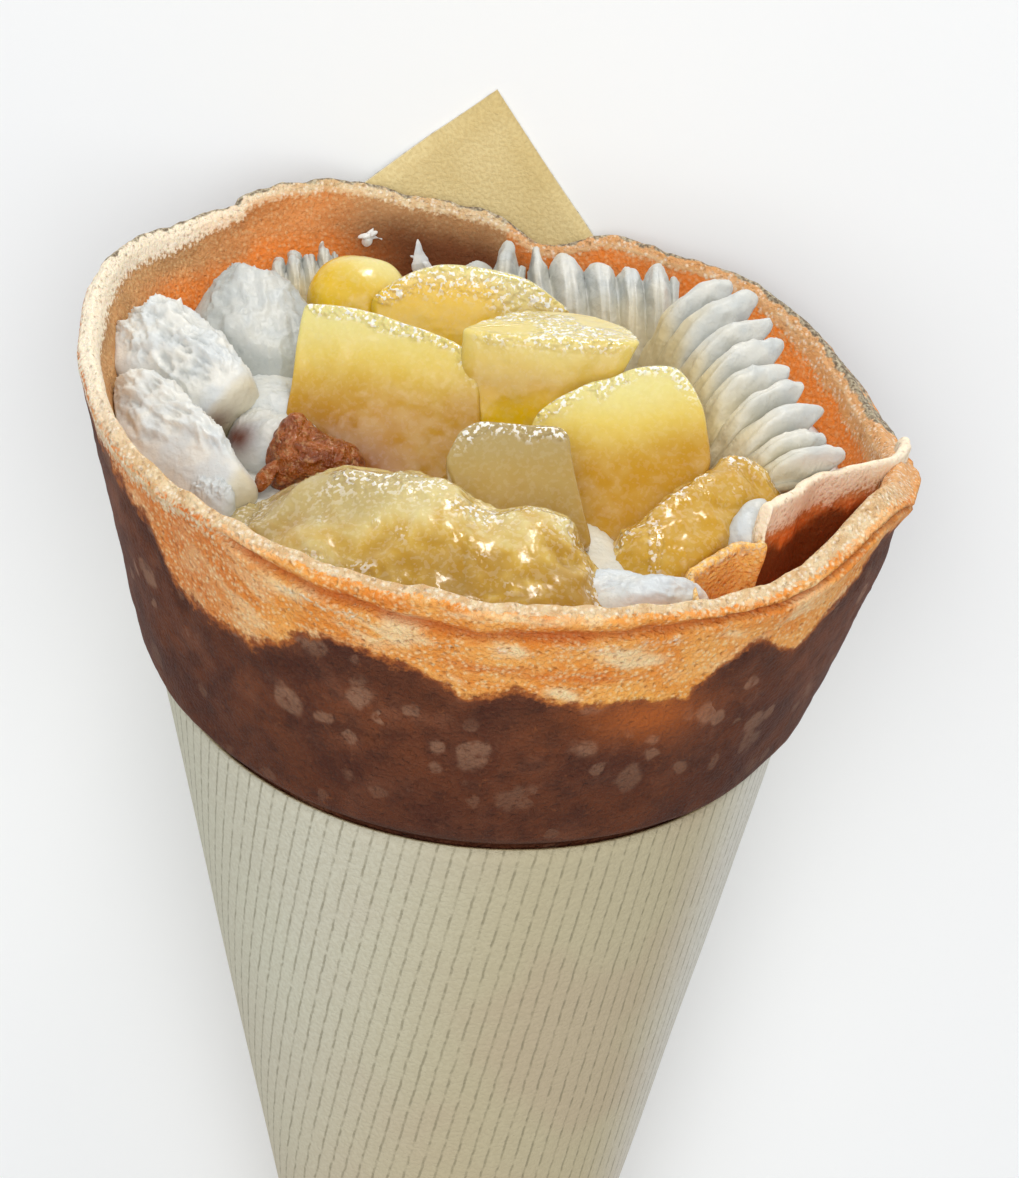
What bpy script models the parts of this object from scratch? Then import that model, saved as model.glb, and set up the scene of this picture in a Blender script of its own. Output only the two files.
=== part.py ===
"""Crepe cone: a rolled crepe full of whipped cream and cooked apple, in a ribbed paper sleeve.

It can't stand by itself, so it lies on a narrow flat along its back, with its mouth towards -Y and
its shown side up. Shapes are worked out in millimetres about the standing cone: its axis is Z with
the sleeve's tip at zero, the shown side faces -Y, and azimuth runs from there to the right (+X).
lay_down then turns the points into the lying frame, in metres.
"""

import math

import bmesh
import bpy
import numpy as np

MM = 0.001
GAP = 0.3  # clearance between neighbouring pieces

# The cone that the paper is rolled on.
HALF_ANGLE = math.radians(12.4)
TAN_HALF = math.tan(HALF_ANGLE)
COS_HALF = math.cos(HALF_ANGLE)
FLAT_HALF = math.radians(12.0)  # the flat on the back, seen from the axis
BASE_LEAN = math.atan(TAN_HALF * math.cos(FLAT_HALF))  # the axis to the ground, when it lies
REST_SLANT = 160.0  # the origin, on the flat, from the tip

# Paper sleeve: one square sheet rolled up, with a corner standing behind the food.
SHEET = 0.6
SLEEVE_NOSE = 5.0  # slant of the closed tip
NOSE_DISH = 1.2
CORNER_SLANT = 247.0
CORNER_TURN = math.radians(2.6)  # of the corner, from the middle of the back
LEFT_FALL = math.radians(37.4)  # of the sheet's two edges beside the corner
RIGHT_FALL = math.radians(53.2)
FRONT_SLANT = 177.0
FRONT_TURN = math.radians(13.0)
SEAM_TURN = math.radians(62.6)
SEAM_STEP = 0.5

# Crepe: heights are along the axis, and "out" is the distance outside the paper's cone.
CREPE_TIP = 16.0
CREPE_FLOOR = 46.0  # the crepe is rolled solid below this
DISH = 5.0  # height of the shallow cones that close the crepe's two ends
WALL = 3.6
SKIN = SHEET / COS_HALF + GAP  # paper and gap
RIM_HEIGHT = 216.7
RIM_SLOPE = 10.2
RIM_TURN = math.radians(22.0)
# Waves of the rim: azimuth and half width in degrees, then height.
RIM_WAVES = ((-100, 22, 3.5), (-142, 18, 2.2), (62, 11, 4.6), (108, 20, -5.2), (172, 8, -3.4))
RIM_FLARE = 2.25  # mean distance outside the paper's cone, and its swings to front, side and ends
RIM_FRONT, RIM_RIGHT, RIM_OVAL = 2.0, 2.4, 1.0
# Where the rim bends further out or in, in the same way.
RIM_BENDS = ((-130, 24, 1.6), (116, 25, 2.5), (172, 10, -2.5))
LIP = 2.4  # width of the rim's top
LIP_EXTRA = 2.3  # more of it round the right
LIP_CENTRE, LIP_HALF = 88, 42
COLLAR = 10.0  # least height of crepe that is shaped freely below the rim
COLLAR_EASE = 8.0  # the height over which that freedom grows
EDGE_CLEAR = 0.4  # from the paper's edge up to where the crepe swells out
OVERHANG = 1.3  # of the crepe over the paper's edge
LAYER_DROP = 3.2  # from the rim to the outer layer's own edge, in front
LAYER_STEP = 0.5
LAYER_CENTRE, LAYER_HALF = 8, 62
LIP_EASE = 0.2  # rounding of the lip's outer side
NECK = 1.1  # how far the crepe draws in under the wide lip on the right
FLAP_DEPTH = 27.0
FLAP_OUT = -6.3
FLAP_SHEET = 1.8
FLAP_START, FLAP_CORNER, FLAP_END = 29.0, 50.5, 90.0  # azimuths in degrees
FLAP_LOW, FLAP_MIDDLE, FLAP_HIGH = 205.0, 208.2, 212.0

FILL_HEIGHT, FILL_SLOPE = 207.5, 4.7  # where the filling meets the crepe
FILL_CENTRE = 211.0

WALL_FULL = 32.0  # depth below the rim where the wall has its full thickness
WALL_DEPTHS = (1.0, 4.0, 12.0, 22.0, 36.0)

COLUMNS = 48
COLUMN_STEP = 2 * math.pi / COLUMNS

PAPER = ("paper", (0.62, 0.56, 0.42), 0.85)
CREPE = ("baked crepe", (0.50, 0.22, 0.08), 0.7)
CREAM = ("whipped cream", (0.86, 0.86, 0.80), 0.5)
APPLE = ("cooked apple", (0.80, 0.62, 0.22), 0.25)
CRUMB = ("caramel crumb", (0.33, 0.13, 0.06), 0.6)


# Standing cone ------------------------------------------------------------------------------


def smooth(low, high, value):
    """0 below low, 1 above high, and a smooth step between."""
    t = np.clip((value - low) / (high - low), 0.0, 1.0)
    return t * t * (3 - 2 * t)


def wrapped(angle):
    return (np.asarray(angle) + math.pi) % (2 * math.pi) - math.pi


def bump(azimuth, centre, half_width):
    """A bell of height 1 round this azimuth, whose centre and half width are in degrees."""
    away = wrapped(azimuth - math.radians(centre)) / math.radians(half_width)
    return np.exp(-(away**2))


def on_cone(azimuth, height, out):
    """Points this far outside the paper's cone, which is flattened along its back."""
    azimuth, height, out = np.broadcast_arrays(azimuth, height, out)
    base = height * TAN_HALF
    from_back = np.cos(wrapped(azimuth - math.pi))
    flat = (base * math.cos(FLAT_HALF) + out) / np.maximum(from_back, 0.3)
    radius = np.minimum(base + out, flat)
    return np.stack([radius * np.sin(azimuth), -radius * np.cos(azimuth), height], axis=-1)


def lay_down(points):
    """The lying frame in metres: the flat on the ground, the mouth towards -Y, right at -X."""
    x, y, z = np.asarray(points, float).reshape(-1, 3).T
    sin_lean, cos_lean = math.sin(BASE_LEAN), math.cos(BASE_LEAN)
    along = y * sin_lean + z * cos_lean
    up = z * sin_lean - y * cos_lean
    return np.stack([-x, REST_SLANT - along, up], axis=-1) * MM


# Meshes -------------------------------------------------------------------------------------


def closed_surface(start, rings, end):
    """A loft through equal rings, closed at a point at each end."""
    count = len(rings[0])
    points = np.concatenate([[start], *rings, [end]])
    here = np.arange(count)
    there = (here + 1) % count
    last = len(points) - 1
    faces = [(0, 1 + b, 1 + a) for a, b in zip(here, there)]
    for level in range(len(rings) - 1):
        low = 1 + level * count
        high = low + count
        faces += [(low + a, low + b, high + b, high + a) for a, b in zip(here, there)]
    top = 1 + (len(rings) - 1) * count
    faces += [(top + a, top + b, last) for a, b in zip(here, there)]
    return points, faces


def open_surface(start, rings):
    """A loft from a point through equal rings, open at its end."""
    points, faces = closed_surface(start, rings, rings[-1][0])
    return points, faces[: -len(rings[0])]


def sheet_loft(rings):
    """A loft of strips: each ring runs along one face of a sheet and back along the other. Its
    faces are triangles, so that two such lofts always bend alike."""
    points, faces = closed_surface(rings[0][0], rings, rings[-1][0])
    count = len(rings[0])
    faces = faces[count:-count]
    for first in (1, 1 + (len(rings) - 1) * count):
        last = first + count - 1
        faces += [(first + i, first + i + 1, last - 1 - i, last - i) for i in range(count // 2 - 1)]
    halves = [((a, b, c), (a, c, d)) for a, b, c, d in faces]
    return points, [face for pair in halves for face in pair]


def add_mesh(name, points, faces, collection, material=None):
    mesh = bpy.data.meshes.new(name)
    mesh.from_pydata(lay_down(points).tolist(), [], [list(map(int, face)) for face in faces])
    tidy = bmesh.new()
    tidy.from_mesh(mesh)
    loose = [vertex for vertex in tidy.verts if not vertex.link_faces]
    bmesh.ops.delete(tidy, geom=loose, context="VERTS")
    bmesh.ops.recalc_face_normals(tidy, faces=tidy.faces)
    tidy.to_mesh(mesh)
    tidy.free()
    mesh.shade_smooth()
    mesh.set_sharp_from_angle(angle=math.radians(40))
    made = bpy.data.objects.new(name, mesh)
    collection.objects.link(made)
    if material:
        mesh.materials.append(material)
    else:
        made.hide_render = True
        made.display_type = "WIRE"
    return made


def boolean(target, operation, other, solver="EXACT"):
    modifier = target.modifiers.new(f"{operation.lower()} {other.name}", "BOOLEAN")
    modifier.operation = operation
    modifier.solver = solver
    modifier.object = other


def make_material(name, colour, roughness):
    material = bpy.data.materials.new(name)
    material.use_nodes = True
    shader = material.node_tree.nodes["Principled BSDF"]
    shader.inputs["Base Color"].default_value = (*colour, 1)
    shader.inputs["Roughness"].default_value = roughness
    return material


# Paper sleeve -------------------------------------------------------------------------------


def column_angles():
    """Azimuths of the shells' columns, one of them at the sheet's corner."""
    return math.pi + CORNER_TURN + np.arange(COLUMNS) * COLUMN_STEP


def sleeve_edge(azimuth):
    """Slant of the sheet's edge: straight cuts of the unrolled sheet, joined at the sides."""
    unroll = math.sin(HALF_ANGLE)
    from_corner = wrapped(azimuth - math.pi - CORNER_TURN) * unroll
    fall = np.where(from_corner > 0, LEFT_FALL, RIGHT_FALL)
    corner = CORNER_SLANT * np.cos(fall) / np.cos(np.abs(from_corner) - fall)
    front = FRONT_SLANT / np.cos(wrapped(azimuth - FRONT_TURN) * unroll)
    from_back = np.abs(wrapped(azimuth - math.pi))
    side = smooth(math.radians(35), math.radians(90), from_back)
    return corner * (1 - side) + front * side


def seam_lift(azimuth):
    """The sheet's free edge lies over its start: a step that fades round the cone."""
    past = wrapped(azimuth - math.pi - SEAM_TURN)
    return SEAM_STEP * smooth(-0.01, 0.01, past) * (1 - smooth(0.1, 0.6, past))


def build_sleeve(collection, material):
    azimuth = column_angles()
    edge = sleeve_edge(azimuth) * COS_HALF
    nose = SLEEVE_NOSE * COS_HALF
    levels = (nose + (edge - nose) * share for share in (0.0, 0.5, 1.0))
    rings = [on_cone(azimuth, level, seam_lift(azimuth)) for level in levels]
    points, faces = open_surface((0, 0, nose - NOSE_DISH), rings)
    sleeve = add_mesh("paper_sleeve", points, faces, collection, material)
    shell = sleeve.modifiers.new("paper", "SOLIDIFY")
    shell.thickness = SHEET * MM
    shell.offset = -1
    return sleeve


# Crepe --------------------------------------------------------------------------------------


def rim_height(azimuth):
    height = RIM_HEIGHT - RIM_SLOPE * np.cos(azimuth - RIM_TURN)
    for centre, half_width, rise in RIM_WAVES:
        height = height + rise * bump(azimuth, centre, half_width)
    return height


def rim_out(azimuth):
    """How far the rim leans out: most on the right, and tucked in behind."""
    lean = RIM_FLARE + RIM_FRONT * np.cos(azimuth) + RIM_RIGHT * np.sin(azimuth)
    lean = lean - RIM_OVAL * np.cos(2 * azimuth)
    for centre, half_width, reach in RIM_BENDS:
        lean = lean + reach * bump(azimuth, centre, half_width)
    return lean


def lip_width(azimuth):
    return LIP + LIP_EXTRA * bump(azimuth, LIP_CENTRE, LIP_HALF)


def free_share(azimuth):
    """1 where the crepe stands clear above the paper, and 0 where the paper backs it."""
    above = rim_height(azimuth) - sleeve_edge(azimuth) * COS_HALF
    return smooth(COLLAR, COLLAR + COLLAR_EASE, above)


def collar_start(azimuth):
    """Height where the crepe swells out over the paper's edge."""
    clear = EDGE_CLEAR + 3.0 * (1 - free_share(azimuth))
    return np.minimum(sleeve_edge(azimuth) * COS_HALF + clear, rim_height(azimuth) - COLLAR)


def rim_drop(azimuth):
    """The rim's outer corner is lower than its inner one, most where the lip is wide."""
    return 0.3 * lip_width(azimuth)


def crepe_outer(azimuth, share):
    """Ring of the collar: a quick step over the paper's edge, then a lean that eases off."""
    start = collar_start(azimuth)
    top = rim_height(azimuth) - rim_drop(azimuth)
    swell = (SKIN + OVERHANG) * smooth(0.0, 0.07, share)
    swell = swell + (rim_out(azimuth) - OVERHANG) * share**0.8
    return on_cone(azimuth, start + (top - start) * share, free_share(azimuth) * swell - SKIN)


def outer_out(azimuth):
    return free_share(azimuth) * (SKIN + rim_out(azimuth)) - SKIN


def crepe_inner(azimuth, depth, gap=0.0):
    """Ring of the inner face at this depth below the rim."""
    wide = outer_out(azimuth) - lip_width(azimuth)
    out = wide + (-SKIN - WALL - wide) * smooth(0.0, WALL_FULL, depth)
    return on_cone(azimuth, rim_height(azimuth) - depth, out - gap)


def flap_top(degrees):
    low = FLAP_LOW + (FLAP_MIDDLE - FLAP_LOW) * smooth(FLAP_START, FLAP_CORNER, degrees)
    return low + (FLAP_HIGH - FLAP_MIDDLE) * smooth(FLAP_CORNER, FLAP_CORNER + 1.5, degrees)


def flap_out(degrees, depth):
    """The inner layer's end stands off the wall and runs back into it at both ends and below."""
    azimuth = np.radians(degrees)
    ends = smooth(FLAP_START, FLAP_START + 9, degrees) * (1 - smooth(FLAP_END - 22, FLAP_END, degrees))
    wall_middle = outer_out(azimuth) - 0.6 * lip_width(azimuth)
    fold = 2.0 * np.exp(-(((degrees - FLAP_CORNER + 1) / 1.6) ** 2))
    top = wall_middle + (FLAP_OUT + fold - wall_middle) * ends
    return top + (-SKIN - 0.5 * WALL - top) * smooth(4.0, FLAP_DEPTH, depth)


def flap_surface(inner, outer, rise=0.0):
    """The flap between two offsets from its middle, as one closed loft along the rim."""
    step = 3.0
    degrees = np.arange(FLAP_START - step, FLAP_END + step, step)
    depths = np.array([0.0, 2.0, 7.0, 14.0, FLAP_DEPTH])
    rings = []
    for angle in degrees:
        azimuth = math.radians(angle)
        heights = flap_top(angle) + rise * (depths == 0) - depths
        middle = flap_out(angle, depths)
        outside = on_cone(azimuth, heights, middle + outer)
        inside = on_cone(azimuth, heights, middle + inner)
        rings.append(np.concatenate([outside, inside[::-1]]))
    return sheet_loft(rings)


def rim_rings(azimuth):
    """The outer layer's own edge in front, the neck under the wide lip, and the rim's top."""
    top = rim_height(azimuth)
    low = top - rim_drop(azimuth)
    out = outer_out(azimuth)
    lip = lip_width(azimuth)
    neck = NECK * bump(azimuth, LIP_CENTRE, LIP_HALF)
    step = LAYER_STEP * bump(azimuth, LAYER_CENTRE, LAYER_HALF)
    return [
        on_cone(azimuth, low - LAYER_DROP - 2 * LIP_EASE, out - neck + step),
        on_cone(azimuth, low - LAYER_DROP, out - 0.6 * neck - LIP_EASE),
        on_cone(azimuth, low - 0.9, out - LIP_EASE),
        on_cone(azimuth, low, out - 0.25 * lip),
        on_cone(azimuth, top, out - 0.75 * lip),
    ]


def build_crepe(collection, cutters, material):
    azimuth = column_angles()
    rings = [on_cone(azimuth, CREPE_TIP + DISH, -SKIN)]
    rings += [crepe_outer(azimuth, share) for share in (0.0, 0.08, 0.25, 0.5)]
    rings += rim_rings(azimuth)
    rings += [crepe_inner(azimuth, depth) for depth in WALL_DEPTHS]
    rings.append(on_cone(azimuth, CREPE_FLOOR + DISH, -SKIN - WALL))
    points, faces = closed_surface((0, 0, CREPE_TIP), rings, (0, 0, CREPE_FLOOR))
    crepe = add_mesh("crepe", points, faces, collection, material)
    half = FLAP_SHEET / 2
    flap = add_mesh("flap", *flap_surface(-half, half), cutters)
    boolean(crepe, "UNION", flap)
    return crepe


# Filling ------------------------------------------------------------------------------------


def bowl(gap, rise):
    """The space inside the crepe, this far clear of its wall and reaching above its rim."""
    azimuth = column_angles()
    rings = [crepe_inner(azimuth, depth, gap) for depth in reversed(WALL_DEPTHS)]
    wide = outer_out(azimuth) - lip_width(azimuth) - gap
    rings.append(on_cone(azimuth, rim_height(azimuth) + rise, wide))
    return closed_surface((0, 0, CREPE_FLOOR + DISH), rings, (0, 0, RIM_HEIGHT + rise))


def pocket(gap):
    """The flap and all behind it out through the wall, which the filling keeps clear of."""
    return flap_surface(-FLAP_SHEET / 2 - gap, 30.0, rise=40.0)


def filling_surface():
    """Cream up to a level that is low in front and higher behind, and domed in the middle."""
    azimuth = column_angles()
    level = FILL_HEIGHT - FILL_SLOPE * np.cos(azimuth)
    below_rim = rim_height(azimuth) - level
    rings = [on_cone(azimuth, CREPE_FLOOR + 2 * DISH, -SKIN - WALL - GAP)]
    rings += [crepe_inner(azimuth, depth, GAP) for depth in (*WALL_DEPTHS[:2:-1], below_rim)]
    centre = np.array([0.0, 0.0, FILL_CENTRE])
    rings += [centre + (rings[-1] - centre) * share for share in (0.65, 0.3)]
    return closed_surface((0, 0, CREPE_FLOOR + DISH), rings, centre)


def local_axes(yaw, tilt):
    """Along, across and up: along turns from the right towards the back, and rises by the tilt."""
    yaw, tilt = math.radians(yaw), math.radians(tilt)
    along = np.array([math.cos(yaw) * math.cos(tilt), math.sin(yaw) * math.cos(tilt), math.sin(tilt)])
    across = np.array([-math.sin(yaw), math.cos(yaw), 0.0])
    return along, across, np.cross(along, across)


def slab(centre, size, yaw=0.0, lean=0.0, power=4.0, taper=0.0, skew=0.0, grow=0.0):
    """A cut slice standing on edge: size is its half width, half height and half thickness, and
    lean tips its top backwards. Its outline is a superellipse, and its edges are rounded."""
    right, back, up = local_axes(yaw, 0.0)
    lean = math.radians(lean)
    height = up * math.cos(lean) + back * math.sin(lean)
    face = np.cross(height, right) * -1
    half_width, half_height, half_thick = (length + grow for length in size)
    turn = np.arange(18) * 2 * math.pi / 18
    u = np.sign(np.cos(turn)) * np.abs(np.cos(turn)) ** (2 / power)
    v = np.sign(np.sin(turn)) * np.abs(np.sin(turn)) ** (2 / power)
    outline = np.outer(u * (1 + taper * v) * half_width, right)
    outline += np.outer((v + skew * u) * half_height, height)
    middle = np.array(centre, float)
    levels = ((-1.0, 0.84), (-0.45, 1.0), (0.45, 1.0), (1.0, 0.84))
    rings = [middle + outline * share + face * (level * half_thick) for level, share in levels]
    start, end = (middle + face * (side * half_thick * 1.06) for side in (-1, 1))
    return closed_surface(start, rings, end)


def lump(centre, size, yaw=0.0, tilt=0.0, power=2.4, wave=0.05, lobes=3, grow=0.0):
    """A soft lump: round sections along its length, with shallow waves wound round it."""
    axes = local_axes(yaw, tilt)
    length, width, height = (half + grow for half in size)
    turn = np.arange(12) * 2 * math.pi / 12
    rings = []
    for s in np.sin(np.radians(np.arange(-72, 73, 24))):
        radius = (1 - abs(s) ** power) ** (1 / power)
        radius = radius * (1 + wave * np.sin(lobes * turn + 4 * s))
        section = np.outer(radius * np.cos(turn) * width, axes[1])
        section += np.outer(radius * np.sin(turn) * height, axes[2])
        rings.append(np.array(centre) + section + axes[0] * (s * length))
    start, end = (np.array(centre) + axes[0] * (side * length) for side in (-1, 1))
    return closed_surface(start, rings, end)


def piped_fan(roots, tips, ridges, arch=3.0, groove=1.1, depth=4.0, hook=1.6, grow=0.0):
    """Cream from a star tip: ridges side by side, each ending in a point. A drop-shaped profile
    from root to tip is carried across the ridges, and swells on each and sinks between them."""
    (root_a, root_b), (tip_a, tip_b) = np.array(roots, float), np.array(tips, float)
    across = (root_b + tip_b) - (root_a + tip_a)
    across /= np.linalg.norm(across)
    reach = (tip_a + tip_b) - (root_a + root_b)
    reach /= np.linalg.norm(reach)
    up = np.cross(across, reach)
    up /= np.linalg.norm(up) * np.sign(up[2])
    root_a, tip_a = root_a - across * grow, tip_a - across * grow
    root_b, tip_b = root_b + across * grow, tip_b + across * grow
    share_top = np.array([0.0, 0.12, 0.35, 0.62, 0.85, 1.0])
    share_low = np.array([0.8, 0.5, 0.2])
    steps = 4 * ridges if grow == 0 else ridges + 3
    rings = []
    for u in (np.arange(steps) + 0.5) / steps:
        ridge = abs(math.sin(math.pi * ridges * u)) if grow == 0 else 1.0
        side = math.sin(math.pi * u) ** 0.3
        root = root_a + (root_b - root_a) * u - reach * grow
        tip = tip_a + (tip_b - tip_a) * u + reach * (grow + hook * ridge)
        swell = side * (arch * np.sin(math.pi * share_top) ** 0.7)
        swell += groove * ridge * np.sin(math.pi * share_top) ** 0.5
        swell += grow * (share_top * (1 - share_top) > 0)
        sink = -side * depth * np.sin(math.pi * share_low) ** 0.6 - grow
        share = np.concatenate([share_top, share_low])[:, None]
        rings.append(root + (tip - root) * share + np.outer(np.concatenate([swell, sink]), up))
    return closed_surface((root_a + tip_a) / 2, rings, (root_b + tip_b) / 2)


# Toppings in the order in which they keep their shape: each is cut round those before it.
TOPPINGS = {
    "caramel_crumb": (
        CRUMB,
        lump,
        dict(centre=(-19, -14, 211), size=(6.2, 4.5, 5.0), yaw=-15, wave=0.12),
    ),
    "apple_wedge_front": (
        APPLE,
        lump,
        dict(centre=(5.5, -33, 205.5), size=(10, 6.5, 6.8), yaw=4, power=3),
    ),
    "apple_wedge_left": (
        APPLE,
        lump,
        dict(centre=(-15, -28.5, 206.5), size=(15.5, 8.5, 6.6), yaw=-12, power=2.6, lobes=4),
    ),
    "apple_slice_centre": (
        APPLE,
        slab,
        dict(centre=(4.3, -23, 210.5), size=(7.6, 8.2, 2.4), lean=38, power=5),
    ),
    "apple_slice_right": (
        APPLE,
        slab,
        dict(centre=(15.5, -13.5, 211), size=(10.6, 12.5, 3.0), yaw=4, lean=38, power=3.4, taper=-0.16),
    ),
    "apple_piece_right": (
        APPLE,
        lump,
        dict(centre=(25.5, -20, 205.5), size=(16, 8, 6), yaw=42, tilt=6),
    ),
    "apple_slice_middle": (
        APPLE,
        slab,
        dict(centre=(6, -1.2, 217), size=(10.8, 7.6, 4.8), yaw=-3, power=3.4),
    ),
    "apple_slice_left": (
        APPLE,
        slab,
        dict(centre=(-13.3, -4.5, 214.5), size=(9.8, 10, 3.1), lean=30, power=6, skew=-0.12),
    ),
    "apple_slice_back": (
        APPLE,
        slab,
        dict(centre=(-3.5, 15, 216), size=(13.5, 11.5, 3.4), lean=20, power=2.4),
    ),
    "apple_round_back": (
        APPLE,
        lump,
        dict(centre=(-18, 20.5, 218.5), size=(6.6, 6.0, 7.0), power=2.2, wave=0.02),
    ),
    "cream_fan_back": (
        CREAM,
        piped_fan,
        dict(roots=((-4, 25, 214), (20.5, 23, 214)), tips=((-2, 35, 222.3), (21, 34, 223)), ridges=7),
    ),
    "cream_fan_right": (
        CREAM,
        piped_fan,
        dict(roots=((19.5, 16, 216.5), (25.5, -1, 212)), tips=((28.5, 23, 224), (36, 3, 218)), ridges=5),
    ),
    "cream_fan_front": (
        CREAM,
        piped_fan,
        dict(roots=((27, -5, 211), (32, -14, 208.5)), tips=((37.8, 1, 217.6), (41, -9, 213.5)), ridges=3),
    ),
    "cream_lobe_back": (
        CREAM,
        lump,
        dict(centre=(-30, 10, 213.5), size=(12, 8, 8.5), yaw=-68, tilt=-22),
    ),
    "cream_fan_left": (
        CREAM,
        piped_fan,
        dict(roots=((-31, 22, 216), (-21, 25, 216)), tips=((-31, 29, 221), (-23, 34, 222.2)), ridges=3),
    ),
    "cream_rope_upper": (
        CREAM,
        lump,
        dict(centre=(-36.2, -0.5, 214.2), size=(12, 6.2, 5.4), yaw=-45, tilt=-13, power=3),
    ),
    "cream_rope_lower": (
        CREAM,
        lump,
        dict(centre=(-36, -13, 208.5), size=(14, 6.2, 6.0), yaw=-46, tilt=-6, power=3),
    ),
    "cream_dab_front": (
        CREAM,
        lump,
        dict(centre=(19.6, -35.6, 203.8), size=(7, 3.2, 3.6), yaw=12),
    ),
}


def boxes_meet(first, second):
    low = np.maximum(first.min(axis=0), second.min(axis=0))
    high = np.minimum(first.max(axis=0), second.max(axis=0))
    return bool(np.all(low < high))


def build_filling(collection, cutters, materials):
    """The toppings, then the cream under them, each clear of the crepe and of one another."""
    inside = add_mesh("inside", *bowl(GAP, 30.0), cutters)
    behind_flap = add_mesh("behind_flap", *pocket(GAP), cutters)
    keep_clear = []
    for name, (finish, shape, sizes) in TOPPINGS.items():
        points, faces = shape(**sizes)
        piece = add_mesh(name, points, faces, collection, materials[finish[0]])
        boolean(piece, "INTERSECT", inside)
        boolean(piece, "DIFFERENCE", behind_flap)
        for other, reach in keep_clear:
            if boxes_meet(points, reach):
                boolean(piece, "DIFFERENCE", other)
        grown, grown_faces = shape(**sizes, grow=GAP)
        keep_clear.append((add_mesh(f"round_{name}", grown, grown_faces, cutters), grown))
    filling = add_mesh("cream_filling", *filling_surface(), collection, materials[CREAM[0]])
    for other in (behind_flap, *(cutter for cutter, reach in keep_clear)):
        boolean(filling, "DIFFERENCE", other, "MANIFOLD")


def clear_scene():
    for thing in list(bpy.data.objects):
        bpy.data.objects.remove(thing, do_unlink=True)


def main():
    clear_scene()
    parts = bpy.data.collections.new("crepe cone")
    cutters = bpy.data.collections.new("cutters")
    for collection in (parts, cutters):
        bpy.context.scene.collection.children.link(collection)
    materials = {finish[0]: make_material(*finish) for finish in (PAPER, CREPE, CREAM, APPLE, CRUMB)}
    build_sleeve(parts, materials[PAPER[0]])
    build_crepe(parts, cutters, materials[CREPE[0]])
    build_filling(parts, cutters, materials)


main()
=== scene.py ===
"""Looks of the crepe cone: paper, browned crepe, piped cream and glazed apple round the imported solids.

Shapes are worked out in millimetres about the standing cone, as in the part: its axis is Z with the
sleeve's tip at zero, the shown side faces -Y, and azimuth runs from there to the right. lay_down
turns them into the lying frame, in metres.
"""

import itertools
import math
from types import SimpleNamespace

import bpy
import mathutils
import numpy as np
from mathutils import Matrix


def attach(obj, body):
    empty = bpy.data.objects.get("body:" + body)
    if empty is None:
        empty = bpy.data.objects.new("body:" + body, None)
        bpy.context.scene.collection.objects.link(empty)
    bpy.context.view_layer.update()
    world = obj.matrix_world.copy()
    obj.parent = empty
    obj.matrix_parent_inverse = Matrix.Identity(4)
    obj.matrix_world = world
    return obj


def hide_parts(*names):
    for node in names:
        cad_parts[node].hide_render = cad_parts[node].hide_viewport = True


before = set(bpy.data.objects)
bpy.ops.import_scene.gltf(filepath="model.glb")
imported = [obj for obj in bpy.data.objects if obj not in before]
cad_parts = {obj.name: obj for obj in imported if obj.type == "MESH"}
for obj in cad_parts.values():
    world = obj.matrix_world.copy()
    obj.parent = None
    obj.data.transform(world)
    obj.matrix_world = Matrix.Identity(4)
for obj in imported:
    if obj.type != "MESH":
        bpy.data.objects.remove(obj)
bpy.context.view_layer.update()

MM = 0.001
HALF_ANGLE = math.radians(12.4)
TAN_HALF, COS_HALF = math.tan(HALF_ANGLE), math.cos(HALF_ANGLE)
FLAT_HALF = math.radians(12.0)
BASE_LEAN = math.atan(TAN_HALF * math.cos(FLAT_HALF))
REST_SLANT = 160.0


# Standing cone ------------------------------------------------------------------------------


def smooth(low, high, value):
    """0 below low, 1 above high, and the cubic step 3t^2 - 2t^3 between."""
    t = np.clip((value - low) / (high - low), 0.0, 1.0)
    return t * t * (3 - 2 * t)


def wrapped(angle):
    """The same angle between -pi and pi."""
    return (np.asarray(angle) + math.pi) % (2 * math.pi) - math.pi


def bump(azimuth, centre, half_width):
    """A bell exp(-d^2) round this azimuth, d being the distance in half widths, in degrees."""
    away = wrapped(azimuth - math.radians(centre)) / math.radians(half_width)
    return np.exp(-(away**2))


def table(azimuth, pairs):
    """Values between those given at azimuths in degrees, in straight steps round the cone."""
    degrees, values = zip(*pairs)
    return np.interp(np.degrees(wrapped(azimuth)), degrees, values)


def on_cone(azimuth, height, out):
    """Points this far outside the paper's cone: radius z tan(a) + out, cut to a flat behind."""
    azimuth, height, out = np.broadcast_arrays(azimuth, height, out)
    base = height * TAN_HALF
    from_back = np.cos(wrapped(azimuth - math.pi))
    flat = (base * math.cos(FLAT_HALF) + out) / np.maximum(from_back, 0.3)
    radius = np.minimum(base + out, flat)
    return np.stack([radius * np.sin(azimuth), -radius * np.cos(azimuth), height], axis=-1)


def turned(vectors):
    """Directions of the standing cone as they point when it lies on its back."""
    x, y, z = np.moveaxis(np.asarray(vectors, float), -1, 0)
    sin_lean, cos_lean = math.sin(BASE_LEAN), math.cos(BASE_LEAN)
    return np.stack([-x, -y * sin_lean - z * cos_lean, z * sin_lean - y * cos_lean], axis=-1)


def lay_down(points):
    """Points of the standing cone in the lying frame, in metres."""
    return (turned(points) + (0.0, REST_SLANT, 0.0)) * MM


# Noise --------------------------------------------------------------------------------------

CELLS = 32
LATTICE = np.random.default_rng(11).random((CELLS, CELLS, CELLS))


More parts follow.
